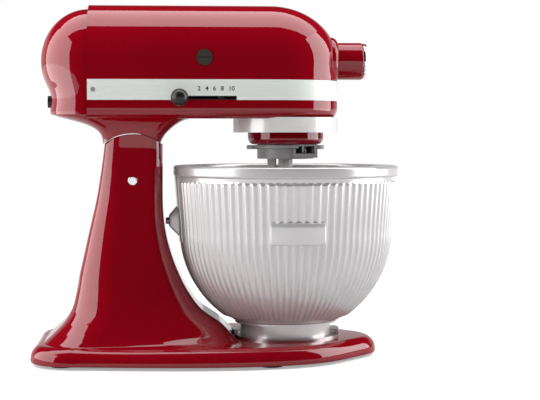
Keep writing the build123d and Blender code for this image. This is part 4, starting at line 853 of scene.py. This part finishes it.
    def raise_ribs(self, piece: bpy.types.Object) -> None:
        """Raises rounded ribs on the outside of the wall, and the flats over each pad.

        Args:
            piece: The turned wall, with its axis at its own origin.
        """
        mesh = piece.data
        points = places(mesh)
        radius = np.hypot(points[:, 0], points[:, 1])
        height = points[:, 2] + piece.location.z
        held = np.clip(height, self.floor_z, self.rim_bottom)
        wall = np.array([self.wall_radius(z) for z in held])
        outer = radius > wall - self.outer_share * self.shell
        pitch = 360.0 / self.ribs
        turn = np.degrees(np.arctan2(points[:, 1], points[:, 0]))
        column = np.rint(turn / pitch * self.columns_per_rib).astype(int)
        off_rib = np.abs(column % self.columns_per_rib - self.columns_per_rib // 2)
        top_end = self.rim_bottom - self.rib_top_gap
        for reach, end_gap, share in self.rib_steps:
            rows = (height > self.rib_bottom_z + end_gap) & (height < top_end - end_gap)
            pick(mesh, outer & rows & (off_rib <= reach))
            edit(lambda: bpy.ops.transform.shrink_fatten(value=share * self.rib_height))
        from_pad = np.abs(np.abs(turn) - 90.0)
        rows = (height > self.panel_z - self.flat_low) & (height < top_end - self.flat_top_gap)
        panel = rows & (from_pad < self.panel_ribs * pitch)
        pick(mesh, outer & panel & (off_rib >= self.flat_reach))
        edit(lambda: bpy.ops.transform.shrink_fatten(value=self.flat_height))

    def wall(self, finish: bpy.types.Material) -> bpy.types.Object:
        """Makes the ribbed wall with its foot.

        Args:
            finish: Its material.

        Returns:
            The wall.
        """
        piece = turned_wall(self.profile(), self.ribs * self.columns_per_rib, self.axis_x)
        self.raise_ribs(piece)
        piece.rotation_euler.z = math.radians(self.clock_deg)
        settle(piece, "bowl_ribbed_wall", Body.BOWL, finish, self.rib_smooth_deg)
        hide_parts("bowl_outer_shell")
        return piece

    def curved_plate(self, place: Callable[[np.ndarray, np.ndarray], np.ndarray], thick: float,
                     bevel: float, cells: tuple[int, int]) -> bpy.types.Object:
        """Shapes a grid over a surface, thickens it inwards and rounds its edges.

        Args:
            place: Gives points from across and up, each 0..1.
            thick: Thickness.
            bevel: Rounding of the edges.
            cells: Faces across and up.

        Returns:
            The plate.
        """
        clear_selection()
        bpy.ops.mesh.primitive_grid_add(x_subdivisions=cells[0], y_subdivisions=cells[1], size=1.0)
        piece = bpy.context.object
        flat = places(piece.data)
        put(piece.data, place(flat[:, 0] + 0.5, flat[:, 1] + 0.5))
        wall = piece.modifiers.new("wall", "SOLIDIFY")
        wall.thickness = thick
        wall.offset = -1.0
        round_edges(piece, bevel, angle_deg=self.plate_edge_deg)
        edit(tidy_shell)
        return piece

    def side_pad(self, name: str, turn_deg: float, finish: bpy.types.Material) -> bpy.types.Object:
        """Makes one smooth crowned pad across the ribs.

        Args:
            name: The pad's name.
            turn_deg: Where it stands round the bowl.
            finish: Its material.

        Returns:
            The pad.
        """
        centre = self.ball_r + self.pad_out - self.pad_crown
        turn = math.radians(turn_deg + self.clock_deg)

        def crown(across: np.ndarray, up: np.ndarray) -> np.ndarray:
            """Places the pad's outer face.

            Args:
                across: How far across, 0..1.
                up: How far up, 0..1.

            Returns:
                The points.
            """
            y = self.pad_half * (2 * across - 1)
            x = centre + np.sqrt(self.pad_crown ** 2 - y ** 2)
            z = self.pad_low + (self.pad_high - self.pad_low) * up
            return np.stack([self.axis_x + x * math.cos(turn) - y * math.sin(turn),
                             x * math.sin(turn) + y * math.cos(turn), z], axis=1)

        piece = self.curved_plate(crown, self.pad_thick, self.pad_round, self.pad_cells)
        return settle(piece, name, Body.BOWL, finish)

    def spine(self, finish: bpy.types.Material) -> bpy.types.Object:
        """Makes the smooth strip down the rear of the wall.

        Args:
            finish: Its material.

        Returns:
            The strip.
        """
        low = self.pin_z - self.spine_below_pin

        def strip(across: np.ndarray, up: np.ndarray) -> np.ndarray:
            """Places the strip's outer face.

            Args:
                across: How far across, 0..1.
                up: How far up, 0..1.

            Returns:
                The points.
            """
            z = low + (self.rim_bottom - low) * up
            turn = np.radians(180.0 + self.spine_half_deg * (2 * across - 1))
            r = np.array([self.wall_radius(h) for h in z]) + self.spine_out
            return np.stack([self.axis_x + r * np.cos(turn), r * np.sin(turn), z], axis=1)

        piece = self.curved_plate(strip, self.spine_thick, self.spine_round, self.spine_cells)
        return settle(piece, "bowl_rear_spine", Body.BOWL, finish)

    def lug(self, finish: bpy.types.Material) -> bpy.types.Object:
        """Makes the pointed lug on the spine that holds the catch pin.

        Args:
            finish: Its material.

        Returns:
            The lug.
        """
        back = self.axis_x - self.ball_r
        outline = [(back + x * MM, self.pin_z + z * MM) for x, z in self.lug_outline]
        piece = prism("bowl_catch_lug", outline, self.lug_half)
        bpy.ops.object.mode_set(mode="EDIT")
        bpy.ops.mesh.select_all(action="SELECT")
        bpy.ops.mesh.bevel(offset=self.lug_round, segments=4)
        bpy.ops.object.mode_set(mode="OBJECT")
        return settle(piece, "bowl_catch_lug", Body.BOWL, finish)

    def pin(self, finish: bpy.types.Material) -> bpy.types.Object:
        """Makes the catch pin with its rounded tip.

        Args:
            finish: Its material.

        Returns:
            The pin.
        """
        middle = self.axis_x - self.ball_r - self.pin_out + self.pin_length / 2
        clear_selection()
        bpy.ops.mesh.primitive_cylinder_add(vertices=self.pin_sides, radius=self.pin_r,
                                            depth=self.pin_length,
                                            location=(middle, 0.0, self.pin_z),
                                            rotation=(0.0, math.pi / 2, 0.0))
        piece = bpy.context.object
        round_edges(piece, self.pin_round, segments=4)
        settle(piece, "bowl_pin", Body.BOWL, finish)
        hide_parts("bowl_catch_pin")
        return piece

    def build(self) -> list[bpy.types.Object]:
        """Builds the bowl's pieces.

        Returns:
            The pieces.
        """
        grey = self.wall_finish.make()
        return [self.wall(grey), self.side_pad("bowl_side_pad_near", -90.0, grey),
                self.side_pad("bowl_side_pad_far", 90.0, grey), self.spine(grey), self.lug(grey),
                self.pin(finish_of(Slot.STEEL.value))]


def hermite(xs: np.ndarray, ys: np.ndarray, x: float) -> float:
    """Reads a smooth curve through points.

    Args:
        xs: The points' places, rising.
        ys: The points' values.
        x: Where it is read.

    Returns:
        The value at x.
    """
    slopes = np.gradient(ys, xs)
    i = int(np.clip(np.searchsorted(xs, x) - 1, 0, len(xs) - 2))
    span = xs[i + 1] - xs[i]
    t = (x - xs[i]) / span
    start, end = 2 * t ** 3 - 3 * t ** 2 + 1, 3 * t ** 2 - 2 * t ** 3
    leave, arrive = (t ** 3 - 2 * t ** 2 + t) * span, (t ** 3 - t ** 2) * span
    return float(start * ys[i] + leave * slopes[i] + end * ys[i + 1] + arrive * slopes[i + 1])


def prism(name: str, outline: list[Span], half: float) -> bpy.types.Object:
    """Makes a solid from an outline, drawn out to both sides.

    Args:
        name: Its name.
        outline: The outline's corners in X and Z.
        half: How far it reaches along Y on each side.

    Returns:
        The closed mesh.
    """
    clear_selection()
    bpy.ops.mesh.primitive_circle_add(vertices=len(outline), fill_type="NGON")
    piece = bpy.context.object
    piece.name = name
    put(piece.data, np.array([(x, -half, z) for x, z in outline]))
    bpy.ops.object.mode_set(mode="EDIT")
    bpy.ops.mesh.select_all(action="SELECT")
    bpy.ops.mesh.extrude_region_move(TRANSFORM_OT_translate={"value": (0.0, 2 * half, 0.0)})
    tidy_shell()
    bpy.ops.object.mode_set(mode="OBJECT")
    return piece


@dataclass(frozen=True)
class Slice:
    """A level outline of the column in millimetres, with X measured from its neck's front face."""

    z: float
    rear: float
    front: float
    half_rear: float
    half_front: float
    r_rear: float
    r_front: float


@dataclass
class Stand:
    """The enamelled skin of the stand: the column and the foot that it flows into."""

    slices: tuple[Slice, ...] = (
        Slice(3, -124.6, 79.5, 92, 90, 43, 40),
        Slice(8, -123.6, 78.5, 90.5, 88, 43, 40),
        Slice(13, -120.9, 76.7, 88, 84, 43, 40),
        Slice(19.5, -117, 73, 85, 78, 43, 39),
        Slice(27, -109, 67, 81.5, 69, 43, 36),
        Slice(36.5, -99.5, 57.5, 77.5, 61.5, 42, 32),
        Slice(48.6, -91.5, 40, 72.5, 55.5, 40, 28),
        Slice(66, -86.3, 26, 66, 50.5, 36, 24),
        Slice(85, -82.7, 16, 60, 47.5, 32, 21),
        Slice(103, -78.6, 9, 54.5, 45, 28.5, 19),
        Slice(121, -74.6, 4, 49.5, 43, 26, 17),
        Slice(139, -70.4, 1, 45.5, 41, 23.5, 16),
        Slice(158, -66, 0, 42, 40, 21.5, 15),
        Slice(182, -61.8, 0, 39.2, 38.6, 19, 14),
        Slice(203, -58.7, 0, 38, 38, 16, 14),
        Slice(226, -56, 0, 38, 38, 15, 14))
    rays: int = 480
    corner_points: int = 16
    edge_points: int = 96
    neck_gap: float = 10.5 * MM
    hub_back: float = 26.0 * MM
    cover: float = 0.15 * MM
    deck_z: float = 19.65 * MM
    deck_fall: float = 0.2 * MM
    deck_shares: tuple[float, ...] = (0.3, 0.6, 0.8, 0.93)
    roof_z: float = 15.65 * MM
    foot_z: float = 3.0 * MM
    foot_inset: float = 0.45 * MM
    foot_round: tuple[Span, ...] = ((1.0, 0.0), (0.3, 0.4), (0.0, 1.6), (0.0, 3.5))
    edge_r: float = 13.0 * MM
    edge_rows: int = 8
    column_rows: int = 60
    column_ease: float = 1.3
    wall: float = 7.0 * MM
    meld: float = 2.0 * MM
    smooth_deg: float = 50.0
    neck_r: float = 45.8 * MM
    slot_r: float = 24.6 * MM
    slot_gap: float = 3.0 * MM
    slot_deg: tuple[int, int] = (54, 127)
    cutter_step_deg: int = 3
    cutter_reach: float = 120.0 * MM
    cutter_half: float = 60.0 * MM
    probe_z: float = 6.0 * MM
    probe_reach: float = 500.0 * MM
    boss_r: float = 13.0 * MM
    boss_sides: int = 48
    boss_top_z: float = 16.65 * MM
    boss_round: float = 0.8 * MM
    feet: tuple[Span, ...] = (
        (-151.25 * MM, -66 * MM), (-151.25 * MM, 66 * MM),
        (49.75 * MM, -78 * MM), (49.75 * MM, 78 * MM), (139.75 * MM, 0.0))

    def __post_init__(self) -> None:
        """Takes the neck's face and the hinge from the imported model."""
        self.front_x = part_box("bowl_rim_ring")[0].x - self.neck_gap
        self.centre_x = self.front_x - self.hub_back
        low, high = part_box("hinge_pin")
        self.hinge_x, self.hinge_z = (low.x + high.x) / 2, (low.z + high.z) / 2
        self.turns = np.linspace(-math.pi, math.pi, self.rays + 1)
        self.heights = np.array([row.z for row in self.slices])

    def foot_radius(self) -> np.ndarray:
        """Probes how far the foot casting reaches.

        Returns:
            The reach along each ray.
        """
        solid = frame["nodes"]["base_casting"]
        centre = Vector((self.centre_x, 0.0, self.probe_z))
        reach = []
        for turn in self.turns:
            way = Vector((math.cos(turn), math.sin(turn), 0.0))
            hit, place, _, _ = solid.ray_cast(centre + self.probe_reach * way, -way)
            reach.append((place - centre).length + self.cover if hit else reach[-1])
        return np.array(reach)

    def column_radius(self, z: float) -> np.ndarray:
        """Works out the column's level outline: four tilted sides with rounded corners.

        Args:
            z: The height.

        Returns:
            The reach along each ray.
        """
        rear, front, half_rear, half_front, r_rear, r_front = (
            hermite(self.heights, np.array([getattr(row, key) for row in self.slices]), z / MM) * MM
            for key in ("rear", "front", "half_rear", "half_front", "r_rear", "r_front"))
        offset = self.front_x - self.centre_x
        corners = [(rear, -half_rear, r_rear), (front, -half_front, r_front),
                   (front, half_front, r_front), (rear, half_rear, r_rear)]
        spots = [np.array((x + offset, y)) for x, y, _ in corners]
        outline = []
        for i, (_, _, radius) in enumerate(corners):
            to_last = spots[i - 1] - spots[i]
            to_last = to_last / np.linalg.norm(to_last)
            to_next = spots[(i + 1) % len(spots)] - spots[i]
            to_next = to_next / np.linalg.norm(to_next)
            half = 0.5 * math.acos(float(to_last @ to_next))
            bisector = (to_last + to_next) / np.linalg.norm(to_last + to_next)
            pivot = spots[i] + bisector * radius / math.sin(half)
            begin = spots[i] + to_last * radius / math.tan(half) - pivot
            end = spots[i] + to_next * radius / math.tan(half) - pivot
            for share in np.linspace(0.0, 1.0, self.corner_points):
                arm = (1 - share) * begin + share * end
                outline.append(pivot + arm * radius / np.linalg.norm(arm))
        outline.append(outline[0])
        dense = [np.linspace(a, b, self.edge_points) for a, b in zip(outline, outline[1:])]
        return np.interp(self.turns, *self.polar(np.concatenate(dense)), period=2 * math.pi)

    @staticmethod
    def polar(points: np.ndarray) -> tuple[np.ndarray, np.ndarray]:
        """Turns points into angles and radii.

        Args:
            points: One row for each point.

        Returns:
            The angles in rising order, and their radii.
        """
        angle = np.arctan2(points[:, 1], points[:, 0])
        order = np.argsort(angle)
        return angle[order], np.hypot(points[:, 0], points[:, 1])[order]

    def rows(self) -> list[tuple[np.ndarray, np.ndarray]]:
        """Lists the skin's rings, from under the foot to the column's top.

        Returns:
            Each ring's reach and height along the rays.
        """
        foot = self.foot_radius() - self.foot_inset
        ledge = foot - self.edge_r
        on_deck = self.column_radius(self.deck_z)

        def outer(one: np.ndarray, other: np.ndarray) -> np.ndarray:
            """Returns the further of two reaches, with the step between them melted."""
            return (one + other + np.sqrt((one - other) ** 2 + self.meld ** 2)) / 2

        def level(z: float) -> np.ndarray:
            """Returns one height for every ray."""
            return np.full(self.rays + 1, z)

        rings = []
        for inset, lift in self.foot_round:
            z = self.foot_z + lift * MM
            rings.append((outer(foot, self.column_radius(z)) - inset * MM, level(z)))
        for step in range(1, self.edge_rows + 1):
            turn = math.pi / 2 * step / self.edge_rows
            z = self.deck_z - self.edge_r * (1 - math.sin(turn))
            edge = ledge + self.edge_r * math.cos(turn)
            rings.append((outer(edge, self.column_radius(z)), level(z)))
        shelf = outer(ledge, on_deck)
        for share in self.deck_shares:
            z = self.deck_z + self.deck_fall * share
            rings.append((shelf + (on_deck - shelf) * share, level(z)))
        top = self.heights[-1] * MM
        for step in range(1, self.column_rows + 1):
            share = (step / self.column_rows) ** self.column_ease
            z = self.deck_z + (top - self.deck_z) * share
            rings.append((self.column_radius(z), level(z)))
        inner, none = foot - self.wall, level(0.0)
        start = [(none, level(self.roof_z)), (inner, level(self.roof_z)), (inner, level(self.foot_z))]
        return start + rings + [(none, level(top))]

    def cutters(self) -> list[bpy.types.Object]:
        """Makes the solids that cut the column's domed top and the slot for the head's knuckle.

        Returns:
            The two solids.
        """
        hx, hz, far = self.hinge_x, self.hinge_z, self.cutter_reach

        def spot(r: float, deg: int) -> Span:
            """Returns a corner at a radius and an angle round the hinge."""
            return hx + r * math.cos(math.radians(deg)), hz + r * math.sin(math.radians(deg))

        dome = [spot(self.neck_r, deg) for deg in range(0, 181, self.cutter_step_deg)]
        dome += [(hx - far, hz), (hx - far, hz + far), (hx + far, hz + far), (hx + far, hz)]
        first, last = self.slot_deg
        slot = [spot(self.neck_r + self.slot_gap if first <= deg <= last else self.slot_r, deg)
                for deg in range(0, 360, self.cutter_step_deg)]
        return [prism("dome_cutter", dome, self.cutter_half), prism("slot_cutter", slot, self.slot_r)]

    def skin(self, enamel: bpy.types.Material) -> bpy.types.Object:
        """Makes the column and the foot in one shell.

        Args:
            enamel: Its material.

        Returns:
            The shell.
        """
        rings = self.rows()
        clear_selection()
        bpy.ops.mesh.primitive_grid_add(x_subdivisions=self.rays, y_subdivisions=len(rings) - 1)
        piece = bpy.context.object
        reach = np.concatenate([ring[0] for ring in rings])
        height = np.concatenate([ring[1] for ring in rings])
        turn = np.tile(self.turns, len(rings))
        across = self.centre_x + reach * np.cos(turn)
        put(piece.data, np.stack([across, reach * np.sin(turn), height], axis=1))
        edit(tidy_shell)
        for cutter in self.cutters():
            cut(piece, cutter)
        settle(piece, "stand_skin", Body.STAND, enamel, self.smooth_deg)
        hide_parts("pedestal_column", "base_casting")
        return piece

    def bosses(self, enamel: bpy.types.Material) -> bpy.types.Object:
        """Makes the bosses under the foot that the rubber feet are pressed into.

        Args:
            enamel: Their material.

        Returns:
            The bosses in one piece.
        """
        clear_selection()
        tall = self.boss_top_z - self.foot_z
        made = []
        for x, y in self.feet:
            bpy.ops.mesh.primitive_cylinder_add(vertices=self.boss_sides, radius=self.boss_r,
                                                depth=tall,
                                                location=(x, y, self.foot_z + tall / 2))
            made.append(bpy.context.object)
        for boss in made:
            boss.select_set(True)
        bpy.ops.object.join()
        piece = bpy.context.object
        round_edges(piece, self.boss_round)
        return settle(piece, "foot_bosses", Body.STAND, enamel)

    def build(self) -> list[bpy.types.Object]:
        """Builds the stand's pieces.

        Returns:
            The pieces.
        """
        enamel = finish_of(Slot.ENAMEL.value)
        return [self.skin(enamel), self.bosses(enamel)]


@dataclass
class SpeedScale:
    """The plain speed numbers printed on the trim band, placed from the bowl's axis."""

    numeral_height: float = 4.3 * MM
    height_share: float = 0.7
    bold: float = 0.1 * MM
    raise_by: float = 0.06 * MM
    centre_z: float = 268.0 * MM
    axis_x: float = 69.75 * MM
    marks: tuple[tuple[str, float], ...] = (
        ("2", -88.6), ("4", -80.9), ("6", -73.6), ("8", -66.0), ("10", -57.0))
    ink: Plastic = Plastic("scale_ink", (0.015, 0.018, 0.015), 0.5)

    def __post_init__(self) -> None:
        """Takes the band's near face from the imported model."""
        self.face_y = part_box("trim_band")[0].y

    def numeral(self, text: str, x: float, ink: bpy.types.Material) -> bpy.types.Object:
        """Makes one printed number.

        Args:
            text: The number.
            x: Its centre along the band in metres.
            ink: The finish.

        Returns:
            The finished mesh.
        """
        bpy.ops.object.text_add(location=(0.0, 0.0, 0.0))
        piece = bpy.context.object
        piece.data.body = text
        piece.data.size = self.numeral_height / self.height_share
        piece.data.align_x = "CENTER"
        piece.data.align_y = "CENTER"
        piece.data.extrude = self.raise_by
        piece.data.offset = self.bold
        clear_selection()
        piece.select_set(True)
        bpy.context.view_layer.objects.active = piece
        bpy.ops.object.convert(target="MESH")
        piece = bpy.context.object
        piece.rotation_euler = (math.pi / 2, 0.0, 0.0)
        piece.location = (x, self.face_y, self.centre_z)
        bpy.ops.object.transform_apply(location=True, rotation=True, scale=True)
        piece.name = f"speed_number_{text}"
        piece.data.materials.append(ink)
        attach(piece, Body.HEAD.value)
        return piece

    def build(self) -> list[bpy.types.Object]:
        """Builds the numbers.

        Returns:
            The numbers.
        """
        ink = self.ink.make()
        return [self.numeral(text, x * MM + self.axis_x, ink) for text, x in self.marks]


def main() -> None:
    """Builds the studio, dresses the solids and adds the new pieces."""
    logging.basicConfig(level=logging.INFO, format="%(name)s: %(message)s")
    Studio().build()
    clear_selection()
    dress_solids()
    for assembly in (Stand(), FreezeBowl(), SpeedScale()):
        for piece in assembly.build():
            log.info("%s built", piece.name)


if __name__ == "__main__":
    main()
